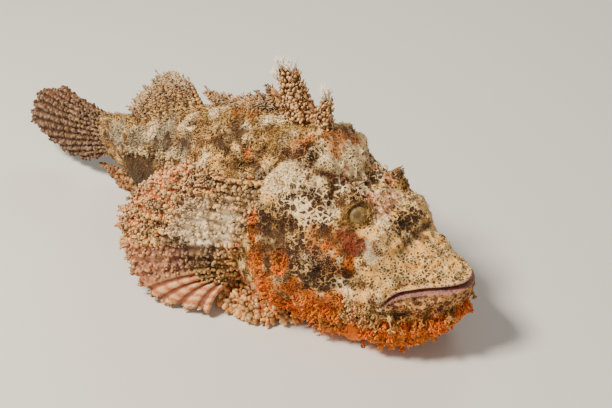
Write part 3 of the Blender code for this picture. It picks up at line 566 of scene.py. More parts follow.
def patches_at(points):
    """The share of each tone at each point: 1 inside a patch's ball, 0 outside, with noise added to the distance."""
    half = one_side(points)
    ragged = RAGGED * (layered(points, 5 * MM, 51, 3) + 0.5 * noise(points, 1.2 * MM, 61))
    shares = {}
    for tone, places in PATCHES.items():
        share = np.zeros(points.shape[:-1])
        for *place, reach in places:
            share = np.maximum(share, 1 - ease(from_place(half, place) / (reach * MM) + ragged, 0.7, 1.2))
        shares[tone] = share
    return shares


def saddle_at(points):
    """The dark patch of the tail stalk, under the line along its side."""
    x, z = points[..., 0], points[..., 2]
    under = np.interp(x, SADDLE_TOP[:, 0], SADDLE_TOP[:, 1]) - z + 0.8 * MM * noise(points, 3 * MM, 81)
    ragged_x = 4 * MM * noise(points, 5 * MM, 83) - x
    length = ease(x, -98 * MM, -93 * MM) * ease(ragged_x, 58 * MM, 70 * MM)
    return length * ease(under, 0, 1.2 * MM) * ease(z, 6 * MM, 13 * MM)


half_body = one_side(plain)
off_eye = np.linalg.norm(half_body - eye_middle, axis=-1)
past_lids = ease(off_eye, 4.2 * MM, 7 * MM)
tones = patches_at(plain)
tones["saddle"] = saddle_at(plain)
# Painted shade: the groove behind the gill cover's edge and the folds of the creases get the dark tone.
tones["dark"] = np.max([tones["dark"], 0.9 * gill_groove_shade, 0.85 * in_creases(plain)[1]], axis=0)
tones["bare"] = np.maximum(tones["bare"], 0.75 * tones["mist"])
tones["lip"] = slit_ahead * np.clip(bell(slit_lift - 1.0 * MM, 0.6 * MM) + bell(slit_lift + 0.9 * MM, 0.7 * MM), 0, 1)
tones["slit"] = np.clip(slit * 1.4, 0, 1)
# Painted shade in the skin's hollows and painted highlight on its crests, by how far it lies below or above its blur.
tones["hollow"] = ease(-proud, -0.1 * MM, 1.3 * MM) * (1 - tones["slit"])
tones["lit_crest"] = ease(proud, 0.5 * MM, 1.7 * MM) * (1 - tones["lip"]) * ease(off_eye, 4 * MM, 8 * MM)
tones["pale"] *= past_lids
tones["peach"] *= past_lids
tones["olive"] = np.maximum(tones["olive"], 1 - past_lids)
print("share of the skin in each tone:", {k: round(float(v.mean()), 3) for k, v in tones.items()})

# %% [markdown]
# ## Shader maths in plain expressions
#
# Nodes are clearer as a formula. Wire holds one output socket and overloads the signs, so a * 0.5 + b adds two Math
# nodes. Paint holds one material, and its node method adds any other node from its type, settings and sockets.

# %% Wire and Paint
class Wire:
    """One output socket of a node, usable in sums and products."""

    def __init__(self, paint, socket):
        self.paint = paint
        self.socket = socket

    def maths(self, operation, other=None, first=None):
        """A Math node of this socket and another value; first swaps them."""
        pair = [self, other] if first is None else [first, self]
        sockets = {i: v for i, v in enumerate(pair) if v is not None}
        return self.paint.node("ShaderNodeMath", {"operation": operation}, sockets)

    def __add__(self, other):
        return self.maths("ADD", other)

    __radd__ = __add__

    def __mul__(self, other):
        return self.maths("MULTIPLY", other)

    __rmul__ = __mul__

    def __sub__(self, other):
        return self.maths("SUBTRACT", other)

    def __rsub__(self, other):
        return self.maths("SUBTRACT", first=other)

    def between(self, low, high):
        """0 below low, 1 above high, eased between."""
        sockets = {"Value": self, "From Min": low, "From Max": high}
        return self.paint.node("ShaderNodeMapRange", {"interpolation_type": "SMOOTHSTEP"}, sockets)


class Paint:
    """One material with a Principled shader, built node by node."""

    def __init__(self, name, **plain):
        self.material = bpy.data.materials.new(name)
        self.material.use_nodes = True
        self.tree = self.material.node_tree
        self.shader = self.tree.nodes["Principled BSDF"]
        for socket, value in plain.items():
            self.shader.inputs[socket.replace("_", " ")].default_value = value

    def node(self, kind, settings=None, sockets=None, out=0):
        """Adds a node: its settings first, then a value or a link for each named or numbered socket."""
        made = self.tree.nodes.new(kind)
        for key, value in (settings or {}).items():
            setattr(made, key, value)
        for key, value in (sockets or {}).items():
            if isinstance(value, Wire):
                self.tree.links.new(value.socket, made.inputs[key])
            else:
                made.inputs[key].default_value = value
        return Wire(self, made.outputs[out])

    def value(self, name):
        """A number kept in the mesh."""
        return self.node("ShaderNodeAttribute", {"attribute_name": name}, out="Fac")

    def place(self, name=None):
        """Object coordinates, or a vector kept in the mesh, in millimetres."""
        if name:
            found = self.node("ShaderNodeAttribute", {"attribute_name": name}, out="Vector")
        else:
            found = self.node("ShaderNodeTexCoord", out="Object")
        return self.node("ShaderNodeVectorMath", {"operation": "SCALE"}, {0: found, "Scale": 1 / MM})

    def cloud(self, at, size, detail=3.0, rough=0.55):
        """Noise of this size in millimetres, from 0 to 1."""
        sockets = {"Vector": at, "Scale": 1 / size, "Detail": detail, "Roughness": rough}
        return self.node("ShaderNodeTexNoise", sockets=sockets)

    def mix(self, share, below, above):
        """Two colours mixed by a share."""
        settings = {"data_type": "RGBA", "clamp_factor": True}
        colours = [c if isinstance(c, Wire) else (*c, 1.0) for c in (below, above)]
        return self.node("ShaderNodeMix", settings, {0: share, 6: colours[0], 7: colours[1]}, out=2)

    def layers(self, ground, *coats):
        """Colours laid over a ground, one after another: each is a share and a colour."""
        for share, colour in coats:
            ground = self.mix(share, ground, colour)
        return ground

    def cells(self, at, size, feature="DISTANCE_TO_EDGE"):
        """How far a place is from the edge of its Voronoi cell, or with F1 from the middle; size in millimetres."""
        return self.node("ShaderNodeTexVoronoi", {"feature": feature}, {"Vector": at, "Scale": 1 / size})

    def bump(self, height, strength, distance):
        """A normal tilted by the height, which is at most this distance in millimetres."""
        return self.node("ShaderNodeBump", sockets={"Height": height, "Strength": strength, "Distance": distance * MM})

    def wear(self, **wires):
        """Links wires to the shader's own sockets."""
        for socket, wire in wires.items():
            self.tree.links.new(wire.socket, self.shader.inputs[socket.replace("_", " ")])
        return self.material


print("Wire and Paint are ready")

# %% [markdown]
# ## The hide's colours
#
# Up close the hide is a net: pale threads round dark pits, fine on the snout and coarse on the cheeks, with the tone of
# the patch showing through. Cells of a Voronoi texture give the net, because the distance to a cell's edge is small on
# the threads. The pits are wide where the hide is dark and mere pricks where it is pale. The coordinates are first
# pushed about by noise, so that no two pits look alike.

# %% Hide paint
CREAM = (0.97, 0.67, 0.29)
TAN = (0.50, 0.235, 0.062)
BROWN = (0.098, 0.041, 0.011)
DEEP = (0.036, 0.011, 0.004)
OLIVE = (0.290, 0.140, 0.020)
GREY = (0.43, 0.365, 0.255)
BONE = (1.0, 0.75, 0.42)
PEACH = (1.0, 0.49, 0.110)
PINK = (0.72, 0.180, 0.080)
RUST = (0.42, 0.105, 0.004)
ORANGE = (0.90, 0.140, 0.000)
AMBER = (0.74, 0.215, 0.001)
MAROON = (0.230, 0.026, 0.008)
MIST = (0.36, 0.285, 0.180)
LILAC = (0.40, 0.215, 0.225)
SADDLE_DARK, SADDLE_BROWN = (0.040, 0.018, 0.004), (0.115, 0.055, 0.015)
CLAY, WINE = (0.58, 0.235, 0.060), (0.085, 0.018, 0.010)
LIP_BROWN, MOUTH = (0.36, 0.125, 0.10), (0.15, 0.020, 0.014)


def pushed_about(paint, at):
    """The place with up to half a millimetre of noise added to it."""
    push = paint.node("ShaderNodeTexNoise", sockets={"Vector": at, "Scale": 0.35, "Detail": 2.0}, out=1)
    return paint.node("ShaderNodeVectorMath", {"operation": "MULTIPLY_ADD"}, {0: push, 1: (1.2, 1.2, 1.2), 2: at})


def hide_ground(paint, at, tone):
    """The colour of the threads, patch over patch, then painted shade in hollows and painted highlight on crests."""
    broad, middling, small = paint.cloud(at, 16), paint.cloud(at, 4.5), paint.cloud(at, 1.3, 2.0)
    ground = paint.layers(
        TAN,
        (broad.between(0.44, 0.58), OLIVE),
        (middling.between(0.53, 0.63) * 0.85, BROWN),
        (middling.between(0.52, 0.42) * 0.7, CREAM),
        (small.between(0.55, 0.70) * 0.5, AMBER),
        (tone["olive"] * 0.7, OLIVE),
        (tone["grey"] * 0.8, GREY),
        (tone["peach"] * 0.85, paint.mix(middling.between(0.35, 0.65), PEACH, CREAM)),
        (tone["pale"] * (0.78 + 0.35 * middling), BONE),
        (tone["pink"] * small.between(0.40, 0.60), PINK),
        (tone["rust"] * (0.55 + 0.6 * middling), RUST),
        (tone["orange"] * (0.80 + 0.4 * middling), paint.mix(small.between(0.40, 0.60), AMBER, ORANGE)),
        # The dark tone: dark markings, and painted shade in pits, recesses, folds and the groove behind the gill cover.
        (tone["dark"] * (0.45 + 0.7 * middling - 0.35 * tone["holes"]), BROWN),
        # Painted shade: darker where the skin lies below its own blur.
        (tone["hollow"] * (0.30 + 0.7 * middling), BROWN),
        # Painted highlight: paler where the skin stands proud of its blur, less on orange, dark and rust hide.
        (tone["lit_crest"] * (0.5 - 0.45 * (tone["orange"] + tone["dark"]) - 0.3 * tone["rust"]), BONE),
        (tone["saddle"], paint.mix(middling.between(0.40, 0.60), SADDLE_DARK, SADDLE_BROWN)),
    )
    return ground, middling, small


def hide_colour(paint, at):
    """The colour at a place in millimetres, and how deep it lies in a pit of the net."""
    tone = {name: paint.value(name) for name in TONES}
    ground, middling, small = hide_ground(paint, at, tone)
    pushed = pushed_about(paint, at)
    coarse, fine, pricks = (paint.cells(pushed, size) for size in (2.6, 1.35, 0.85))
    freckle = paint.cells(pushed, 2.2, "F1")

    depth = 0.45 * (middling - 0.5) + 0.4 * (paint.cloud(at, 9) - 0.5)
    depth = depth + 0.05 * tone["dark"] - 0.08 * (tone["pale"] + tone["peach"])
    pit_fine = (fine + depth).between(0.11, 0.21) * (1 - tone["bare"])
    pit_coarse = (coarse + 0.6 * depth).between(0.065, 0.130) * tone["holes"]
    spot = (1 - freckle.between(0.36, 0.50)) * tone["spots"]
    ground = paint.layers(
        ground,
        (tone["maroon"] * (0.55 + 0.5 * middling), MAROON),
        (tone["spots"] * 0.7, CLAY),
        ((pricks + depth).between(0.20, 0.34) * 0.45, BROWN),
        (pit_fine * 0.92, paint.mix(small, BROWN, DEEP)),
        (pit_coarse * 0.95, DEEP),
        (spot * 0.9, WINE),
        (tone["mist"] * small.between(0.30, 0.55), MIST),
        (tone["lip"] * 0.85, paint.mix(small, LILAC, LIP_BROWN)),
        # The mouth's slit: dark maroon, partly the lining's colour and partly painted shade of the closed mouth.
        (tone["slit"], MOUTH),
    )
    return ground, 0.8 * pit_fine + pit_coarse + 0.3 * spot, small


def hide_paint():
    """Matt, with the pits of the net sunk in by a bump."""
    paint = Paint("hide", Specular_IOR_Level=0.3)
    at = paint.place()
    ground, pit, small = hide_colour(paint, at)
    grain = paint.cloud(at, 0.7, 2.0)
    height = (1 - pit) * 0.9 + 0.35 * small + 0.25 * grain
    return paint.wear(Base_Color=ground, Roughness=0.6 + 0.25 * small, Normal=paint.bump(height, 1.0, 0.7))


def coat_paint(name, tint, share, start, root_shade_and_dark_forms=0.65, on_orange=0.2):
    """The hide's thread colours at each root, tinted from the share of the length where it starts.

    root_shade_and_dark_forms is how much painted shade darkens the root, and how brown the darkest forms are.
    on_orange is how much of the tint orange hide gets.
    """
    paint = Paint(name, Specular_IOR_Level=0.3)
    tone = {key: paint.value(key) for key in TONES}
    ground, _, small = hide_ground(paint, paint.place("root"), tone)
    tip, shade = paint.value("tip"), paint.value("shade")
    tinted = share * (1 - (1 - on_orange) * tone["orange"]) * (1 - 0.5 * tone["rust"]) * (1 - 0.7 * tone["dark"])
    ground = paint.layers(
        ground,
        # Painted shade: each form darker towards its root.
        ((1 - tip) * root_shade_and_dark_forms, BROWN),
        (shade.between(0.25, 0.0) * root_shade_and_dark_forms, BROWN),
        (tip.between(start, 1.0) * tinted * (1 - 0.4 * tone["olive"]) * (0.3 + 0.9 * shade), tint),
    )
    return paint.wear(Base_Color=ground, Roughness=0.55 + 0.2 * small)


hide = hide_paint()
print("hide paint has", len(hide.node_tree.nodes), "nodes")

# %% [markdown]
# ## The skin itself
#
# The grid is closed with a fan of triangles at the tail and at the lips. It stands for the four solids of flesh.

# %% Skin mesh
def close_tube(points):
    """Faces of a tube of rings, with the middle of each end ring added as a point that closes it."""
    rows, columns = points.shape[:2]
    flat = np.concatenate([points.reshape(-1, 3), points[:1].mean(1), points[-1:].mean(1)])
    quads = grid_quads(rows, columns, wrap=True)
    ring = np.arange(columns)
    after = np.roll(ring, -1)
    last = (rows - 1) * columns
    tail_fan = np.stack([after, ring, np.full(columns, rows * columns)], -1)
    lip_fan = np.stack([last + ring, last + after, np.full(columns, rows * columns + 1)], -1)
    return (flat, *outwards(flat, quads, np.concatenate([tail_fan, lip_fan])))


def with_ends(field):
    """A grid of numbers as one row, with the mean of each end ring added for the closing points."""
    return np.concatenate([field.ravel(), [field[0].mean(), field[-1].mean()]])


flat_body, skin_quads, skin_triangles = close_tube(body)
skin_tones = {name: with_ends(share) for name, share in tones.items()}
skin_piece = mesh_of("skin", flat_body, skin_quads, skin_triangles, skin_tones, paint=hide)
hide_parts("head", "lower_jaw", "torso", "tail_stalk")
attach(skin_piece, "root")
print("skin:", 2 * len(skin_quads) + len(skin_triangles), "triangles")

# %% [markdown]
# ## Eyes
#
# The eye is a small dome, olive brown and hazy, with a dark pupil that hardly shows. A sphere of rings about the line
# of sight lets the paint follow the angle from that line.

# %% Eyeballs
EYE_RINGS, EYE_SPOKES = 40, 48
PUPIL_ANGLE, IRIS_ANGLE = 0.40, 0.92
PUPIL, EYE_RIM = (0.095, 0.056, 0.016), (0.34, 0.24, 0.11)
IRIS_DARK, IRIS_PALE = (0.15, 0.088, 0.023), (0.29, 0.178, 0.053)


def eye_paint():
    """Pupil, streaked iris and pale rim by the angle from the line of sight, under a wet coat."""
    paint = Paint("eye", Coat_Weight=0.08, Coat_Roughness=0.25, Roughness=0.55, Specular_IOR_Level=0.3)
    at = paint.place()
    off = paint.value("off_sight") + 0.15 * paint.cloud(at, 1.6)
    streaks = paint.cloud(at, 0.7, 4.0)
    iris = paint.mix(streaks.between(0.35, 0.65), IRIS_DARK, IRIS_PALE)
    return paint.wear(Base_Color=paint.layers(
        PUPIL,
        (off.between(PUPIL_ANGLE - 0.06, PUPIL_ANGLE + 0.10), iris),
        (off.between(IRIS_ANGLE, IRIS_ANGLE + 0.12), EYE_RIM),
    ))


def ball(name, middle, radius, axis, paint):
    """Rings at angle t from the axis: middle + radius (axis cos t + side sin t), with a point at each pole."""
    one = unit(np.cross(axis, [0, 0, 1]))
    two = np.cross(axis, one)
    t = np.linspace(0, math.pi, EYE_RINGS + 2)[1:-1, None, None]
    turn = np.linspace(0, 2 * math.pi, EYE_SPOKES, endpoint=False)[None, :, None]
    side = one * np.cos(turn) + two * np.sin(turn)
    points = middle + radius * (axis * np.cos(t) + side * np.sin(t))
    flat, quads, triangles = close_tube(points)
    off = with_ends(np.broadcast_to(t[..., 0], (EYE_RINGS, EYE_SPOKES)))
    off[-2:] = (0, math.pi)
    flat[-2:] = (middle + radius * axis, middle - radius * axis)
    return mesh_of(name, flat, quads, triangles, {"off_sight": off}, paint=paint)


wet = eye_paint()
SIDES = ((1, "left"), (-1, "right"))
for side, word in SIDES:
    mirror = np.array([1, side, 1])
    eyeball = ball("eyeball_" + word, eye_middle * mirror, eye_radius * 0.99, EYE_AXIS * mirror, wet)
    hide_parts("eye_" + word)
    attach(eyeball, "root")
print("two eyeballs of", 2 * EYE_RINGS * EYE_SPOKES, "triangles")

# %% [markdown]
# ## Fins
#
# A fin is a sheet between a root curve and a tip curve, with a ridge along each ray. The rays of this fish are knobbly
# and the edge is scalloped, so the ridges swell and shrink along their length. The curves are those of the solids.

# %% Fin sheet
FIN_SINK = 4 * MM
FIN_ZONES = ("white", "rosy", "mauve", "olive", "dusk", "fire", "band")
STRAIGHT = ((0, 0, 0), (0, 0, 0))


def along_points(points):
    """A smooth curve through a few places in millimetres, as a function of 0 to 1."""
    points = np.array(points, float) * MM
    table = np.column_stack([np.linspace(0, 1, len(points)), points])
    return lambda u: smooth_between(table, u)


def read_at(u, values):
    """Values spread evenly from u = 0 to 1, read between by straight lines."""
    return np.interp(u, np.linspace(0, 1, len(values)), values)


def fin_sheet(root, tip, rays, per_ray, steps, thick, notches, knobs, seed, zones, bow=STRAIGHT, smooth_rays=2.0):
    """Two faces of a fin: the line from root to tip at each u, bowed, and half its thickness to either side.

    The ridge at u is (1 + cos(2 pi u (rays - 1))) / 2. Beads swell it by |sin(pi knobs v + start)|, and the start
    differs from ray to ray. Past u = smooth_rays the rays have no beads. zones gives the shares of the fin's tones
    at u and v. bow is a vector at u = 0 and what u adds to it, times 4 w (1 - w) at the share w of the way out.
    """
    u = np.linspace(0, 1, (rays - 1) * per_ray + 1)
    v = np.linspace(0, 1, steps + 1)[:, None]
    ridge = 0.5 + 0.5 * np.cos(2 * math.pi * u * (rays - 1))
    nearest = np.round(u * (rays - 1)).astype(int)
    dice = np.random.default_rng(seed)
    start = dice.uniform(0, math.pi, rays)[nearest]
    stretch = 1 + 0.04 * dice.uniform(-1, 0.3, rays)[nearest]
    bow_start, bow_change = np.array(bow) * MM

    def sheet(reach):
        w = (v * reach)[..., None]
        return root(u) * (1 - w) + tip(u) * w + 4 * w * (1 - w) * (bow_start + bow_change * u[:, None])

    whole = sheet(np.ones_like(u))
    normal = grid_normals(whole, wrap=False)
    ragged = 1 + 0.02 * noise(np.stack([u * 60, 0 * u, 0 * u + seed], -1), 1.0, seed)
    length = (1 - read_at(u, notches) * (1 - ridge)) * stretch * ragged
    middle = sheet(length)
    taper = 1 - 0.5 * v**1.3
    smooth = ease(u, smooth_rays - 0.04, smooth_rays + 0.02)
    round_ray = ridge**1.3 * (1 - smooth) + smooth * 1.7 * ridge**0.6
    wave = np.abs(np.sin(v * math.pi * knobs + start)) ** 0.8
    wave = wave * (1 - smooth) + smooth * 0.75
    lumps = noise(middle, 2.6 * MM, seed + 5) * (1 - 0.7 * smooth)
    half = (thick[0] + thick[1] * round_ray * taper * (0.45 + 0.7 * wave + 0.3 * lumps)) * MM / 2
    half = half + 0.35 * MM * np.clip(lumps, 0, 1)
    half *= ease(1 - v, -0.04, 0.08) * 0.75 + 0.25
    front, back = middle + normal * half[..., None], middle - normal * half[..., None]
    for face in (front, back):
        face[..., 2] = np.maximum(face[..., 2], 0.15 * MM)
    fields = {"ray": ridge, "knob": wave * ridge, "u": u, "v": v, "far": v * length, "start": start}
    shares = zones(u, v)
    fields.update({zone: np.clip(shares.get(zone, 0.0), 0, 1) for zone in FIN_ZONES})
    fields = {key: np.broadcast_to(field, middle.shape[:2]) for key, field in fields.items()}
    return front, back, normal, fields


def fin_mesh(name, made, paint):
    """Joins the two faces of a fin round its rim."""
    front, back, _, fields = made
    rows, columns = front.shape[:2]
    index = np.arange(rows * columns).reshape(rows, columns)
    points = np.concatenate([front.reshape(-1, 3), back.reshape(-1, 3)])
    quads = grid_quads(rows, columns, wrap=False)
    rim = np.concatenate([index[0], index[1:, -1], index[-1, -2::-1], index[-2:0:-1, 0]])
    after = np.roll(rim, -1)
    size = rows * columns
    sides = np.stack([after, rim, rim + size, after + size], -1)
    quads = np.concatenate([quads, quads[:, ::-1] + size, sides])
    quads, triangles = outwards(points, quads, np.zeros((0, 3), int))
    values = {k: np.concatenate([f.ravel(), f.ravel()]) for k, f in fields.items()}
    return mesh_of(name, points, quads, triangles, values, paint=paint)


def side_root(stations_at, angles_at, side):
    """A root line on the body's side, sunk below the skin towards the body's middle."""
    def root(u):
        point = skin(read_at(u, stations_at) * MM, np.radians(read_at(u, angles_at)))
        middle = np.stack([point[:, 0], 0 * u, np.clip(point[:, 2], 14 * MM, 60 * MM)], -1)
        return (point + unit(middle - point) * FIN_SINK) * [1, side, 1]
    return root


def ridge_root(start, end, below=False):
    """A root line along the back, or along the underside, sunk into the body."""
    def root(u):
        point = skin((start + (end - start) * u) * MM, -math.pi / 2 if below else math.pi / 2)
        point[:, 2] += FIN_SINK if below else -FIN_SINK
        return point
    return root


print("fins start", FIN_SINK / MM, "mm under the skin")

# %% [markdown]
# ## Paint for the fins
#
# The fins are brown between the rays and cream on the beads. The broad side fins have a white middle with a dusky part
# below it, a rosy edge and an olive root. Their lower rays are mauve, and the lowest are smooth and banded pink and
# white. The tail fin is dusky. Each fin keeps the shares of these tones in its mesh, as the skin does.

# %% Fin paint
SALMON = (0.66, 0.145, 0.012)
MILK = (0.92, 0.73, 0.48)
MAUVE = (0.46, 0.185, 0.105)
DUSK = (0.050, 0.016, 0.010)
WEB_DARK, WEB_BROWN = (0.095, 0.040, 0.020), (0.25, 0.130, 0.065)
OLIVE_DARK, PLUM, BLOTCH = (0.085, 0.046, 0.016), (0.16, 0.060, 0.032), (0.095, 0.036, 0.018)
STRIPE_TURNS = 46
BAND_PALE, BAND_PINK, FURROW_SHADE = (0.80, 0.46, 0.21), (0.60, 0.165, 0.055), (0.17, 0.040, 0.018)


def fin_colour(paint, at):
    """Brown webs and cream beads, tone over tone, and the smallest noise used for it."""
    tone = {name: paint.value(name) for name in FIN_ZONES}
    ray, knob = paint.value("ray"), paint.value("knob")
    broad, middling, small = paint.cloud(at, 7), paint.cloud(at, 2.6), paint.cloud(at, 1.0, 2.0)
    spots = paint.cells(at, 3.0, "F1")
    ground = paint.layers(
        paint.mix(middling.between(0.42, 0.60), WEB_DARK, WEB_BROWN),
        ((ray * 0.3 + knob * 0.75) * middling.between(0.34, 0.50), paint.mix(small.between(0.4, 0.6), PEACH, CREAM)),
        (tone["olive"] * (0.80 - 0.55 * knob), paint.mix(middling.between(0.45, 0.56), OLIVE_DARK, OLIVE)),
        (tone["rosy"] * (0.45 + 0.7 * middling), paint.mix(small.between(0.42, 0.58), PINK, SALMON)),
        (tone["fire"] * (0.40 + 0.8 * middling), paint.mix(small, SALMON, ORANGE)),
        (tone["mauve"], paint.mix(middling.between(0.42, 0.56), MAUVE, PLUM)),
        (tone["dusk"] * (0.95 - 0.45 * knob), DUSK),
        (tone["white"] * broad.between(0.35, 0.5), MILK),
        ((1 - spots.between(0.20, 0.40)) * broad.between(0.44, 0.56) * (1 - tone["band"]) * 0.85, BLOTCH),
    )
    return ground, small


def fin_paint():
    """The fins' tones, stripes across the banded rays with painted shade in the furrows between them, and a fine grain.
    """
    paint = Paint("fins", Specular_IOR_Level=0.3)
    at = paint.place()
    ground, small = fin_colour(paint, at)
    far, start, ray, band = (paint.value(name) for name in ("far", "start", "ray", "band"))
    wave = (far * STRIPE_TURNS + start * 2 + 5.0 * paint.cloud(at, 7)).maths("SINE")
    stripe = paint.layers(
        BAND_PALE,
        (wave.between(-0.7, 0.7), BAND_PINK),
        (small.between(0.52, 0.70) * 0.5, MILK),
        (small.between(0.45, 0.30) * 0.6, MAUVE),
        # Painted shade in the furrows between the banded rays.
        ((1 - ray).between(0.35, 0.95) * 0.9, FURROW_SHADE),
    )
    bump = paint.bump(small + 0.6 * paint.cloud(at, 0.6, 2.0), 0.8, 0.4)
    return paint.wear(Base_Color=paint.mix(band, ground, stripe), Roughness=0.5 + 0.25 * small, Normal=bump)


fin_finish = fin_paint()
print("fin paint has", len(fin_finish.node_tree.nodes), "nodes")

# %% [markdown]
# ## The eight fins
#
# The side fins spread like fans behind the gill covers and prop the fish up. The pelvic fins lie on the floor. The
# back carries short spines, two of them tall, and then a soft fin, and the tail fin ends the body.

# %% Side and belly fins
PECTORAL_ENDS = ((-25, 34, 64), (-45, 42, 51), (-57, 47, 30), (-51, 54, 11), (-32, 56, 1.8), (-5, 50, 1.8))
PELVIC_ENDS = ((28, 29, 2), (23, 36, 1.9), (13, 42, 1.9), (3, 44, 1.9), (-6, 41, 1.9))
fins = {}


def keep_fin(name, node, *shape, **more):
    """Makes a fin in place of its solid, and remembers its faces for the coat."""
    fins[node] = fin_sheet(*shape, **more)
    piece = fin_mesh(name, fins[node], fin_finish)
    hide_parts(node)
    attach(piece, "root")
    print(name, len(piece.data.polygons) * 2, "triangles")


def hill(x, low, high, soft):
    """1 from low to high, easing to 0 within soft on either side."""
    return ease(x, low - soft, low) * (1 - ease(x, high, high + soft))


def dusky(u, v):
    """The purple brown part under the white middle."""
    return hill(u, 0.50, 0.64, 0.05) * hill(v, 0.26, 0.52, 0.10)


def fan_zones(u, v):
    """White in the middle, rosy at the edge and on the upper rays, olive near the root, then mauve and banded rays."""
    return {
        "white": hill(u + 0.25 * v, 0.34, 0.56, 0.08) * hill(v, 0.20, 0.44, 0.12)
        + 0.4 * hill(u, 0.12, 0.42, 0.1) * hill(v, 0.10, 0.3, 0.1),
        "rosy": 0.9 * ease(v, 0.74, 0.94) + 0.5 * (1 - ease(u, 0.22, 0.38)) * ease(v, 0.35, 0.6),
        "mauve": 0.85 * hill(u, 0.55, 0.70, 0.06) * ease(v, 0.30, 0.55),
        "olive": (1 - ease(v, 0.40, 0.58)) * (0.2 + 0.8 * ease(u, 0.50, 0.62)),
        "dusk": 0.85 * dusky(u, v),
        "fire": 0.6 * hill(u, 0.0, 0.52, 0.1) * ease(v, 0.62, 0.86)
        + 0.5 * (1 - ease(v, 0.10, 0.22)) * ease(u, 0.3, 0.5),
        "band": ease(u, 0.70, 0.76) * ease(v, 0.36, 0.48),
    }


def belly_zones(u, v):
    """Orange, most at the root and on the first ray."""
    return {"rosy": 0.12, "fire": 0.6 + 0.4 * (1 - ease(v, 0.2, 0.5)) + 0.3 * (1 - ease(u, 0.1, 0.5))}


for side, word in SIDES:
    mirror = (1, side, 1)
    keep_fin(
        "fan_fin_" + word, "pectoral_fin_" + word,
        side_root((3, 3, 3, 2, 1), (42, 24, 4, -18, -42), side), along_points(np.array(PECTORAL_ENDS) * mirror),
        15, 15, 66, (0.8, 2.3), (0.03, 0.08), 17, 4, fan_zones,
        bow=((0, 7.2 * side, 1.6), (0, -2.4 * side, 4.0)), smooth_rays=0.72,
    )
    keep_fin(
        "belly_fin_" + word, "pelvic_fin_" + word,
        side_root((18, 11, 3), (-66, -66, -66), side), along_points(np.array(PELVIC_ENDS) * mirror),
        7, 18, 44, (0.9, 2.6), (0.06,), 8, 9, belly_zones, bow=((0, 0, 4), (0, 0, 0)),
    )

# %% [markdown]
# The upright fins share one function: each ray has a height over the skin and a lean towards the tail, and both are
# read between the values of a short list.

# %% Fins of the back, the underside and the tail
def upright(start, end, tall, lean, below=False):
    """Root and tip curves: the tip is the root plus the height at u, turned back by the lean at u."""
    root = ridge_root(start, end, below)

    def tip(u):
        height = read_at(u, tall) * MM + FIN_SINK
        turn = np.radians(read_at(u, lean))
        up = -height if below else height
        return root(u) + np.stack([-height * np.sin(turn), 0 * u, up * np.cos(turn)], -1)
    return root, tip


def back_zones(u, v):
    """Dusky from the front to the tall spines, and rosy at the edge."""
    return {"dusk": 0.9 * (1 - ease(u, 0.28, 0.4)), "olive": 0.3, "rosy": 0.4 * ease(v, 0.6, 0.9)}


def soft_zones(u, v):
    """Olive, then rosy, then white at the edge."""
    return {"olive": 0.45, "white": 0.5 * ease(v, 0.75, 0.95), "rosy": 0.35 * ease(v, 0.5, 0.8)}


def vent_zones(u, v):
    """Dusky, with an orange outer half."""
    return {"dusk": 0.5, "fire": 0.7 * ease(v, 0.35, 0.7)}


def tail_zones(u, v):
    """Dusky all over, with a rosy edge and an orange upper corner."""
    fire = 0.8 * ease(v - u, 0.5, 0.8)
    return {"dusk": 1.0 - 0.05 * ease(v, 0.0, 0.25), "rosy": 0.25 * ease(v, 0.75, 0.95), "fire": fire}


SPINE_HEIGHTS = (17, 9, 23, 22, 11, 7, 6, 6, 6, 6, 7, 9)
SPINE_LEANS = (0, 20, 18, 22, 35, 50, 56, 60, 60, 58, 52, 45)
SPINE_NOTCHES = (0.5, 0.5, 0.45, 0.4, 0.35, 0.3, 0.3, 0.3, 0.3, 0.3, 0.25, 0.2)
keep_fin(
    "spine_fin", "dorsal_fin_spiny", *upright(6, -37, SPINE_HEIGHTS, SPINE_LEANS),
    12, 16, 40, (0.9, 2.4), SPINE_NOTCHES, 6, 12, back_zones,
)
keep_fin(
    "soft_fin", "dorsal_fin_soft", *upright(-47, -88, (12, 18, 19, 17, 14, 11, 7), (30, 35, 40, 45, 50, 55, 60)),
    10, 16, 50, (0.8, 2.0), (0.10,), 9, 15, soft_zones,
)
keep_fin(
    "vent_fin", "anal_fin", *upright(-66, -94, (7, 18, 27, 29), (50, 64, 74, 83), below=True),
    7, 16, 40, (0.8, 2.0), (0.10,), 9, 18, vent_zones,
)
keep_fin(
    "tail_fin", "caudal_fin", along_points(((-113, 0, 42), (-114, 0, 32), (-113, 0, 21))),
    along_points(((-148, 0, 48), (-168, -1, 39), (-177, -2, 22), (-163, -1, 10), (-141, 0, 7))),
    12, 16, 54, (0.9, 2.2), (0.05,), 17, 21, tail_zones, bow=((0, -1.5, 0), (0, 0, 0)),
)

# %% [markdown]
# ## Growing a coat
#
# The hide is rough with threads, warts, beads and flaps. Each is a small closed form: a few rings that bend from the
# skin's normal towards the lie of the coat, then a tip. One call grows thousands at once, because the rings of all of
# them are worked out together. Each keeps the place of its root, so its colour matches the hide there, and its flat
# map puts it in a patch 0.003 wide at that place on the skin's own unwrap.
#
# A shape lists its rings, as the share of the length and of the width: a thorn narrows at once, a lobe is widest near
# its end, and a bead is nearly as wide as it is high.

# %% Small forms by the thousand
PATCH = 0.003
THORN = ((0.0, 1.0), (0.5, 0.72))
LOBE = ((0.0, 0.55), (0.42, 0.70), (0.80, 1.0))
STEM = ((0.0, 1.0), (0.45, 0.85), (0.85, 0.75))
BEAD = ((0.0, 0.95), (0.45, 1.05), (0.86, 0.66))
FLAP = {"shape": LOBE, "corners": 4}
BALL = {"shape": BEAD, "corners": 5}
dice = np.random.default_rng(8008)


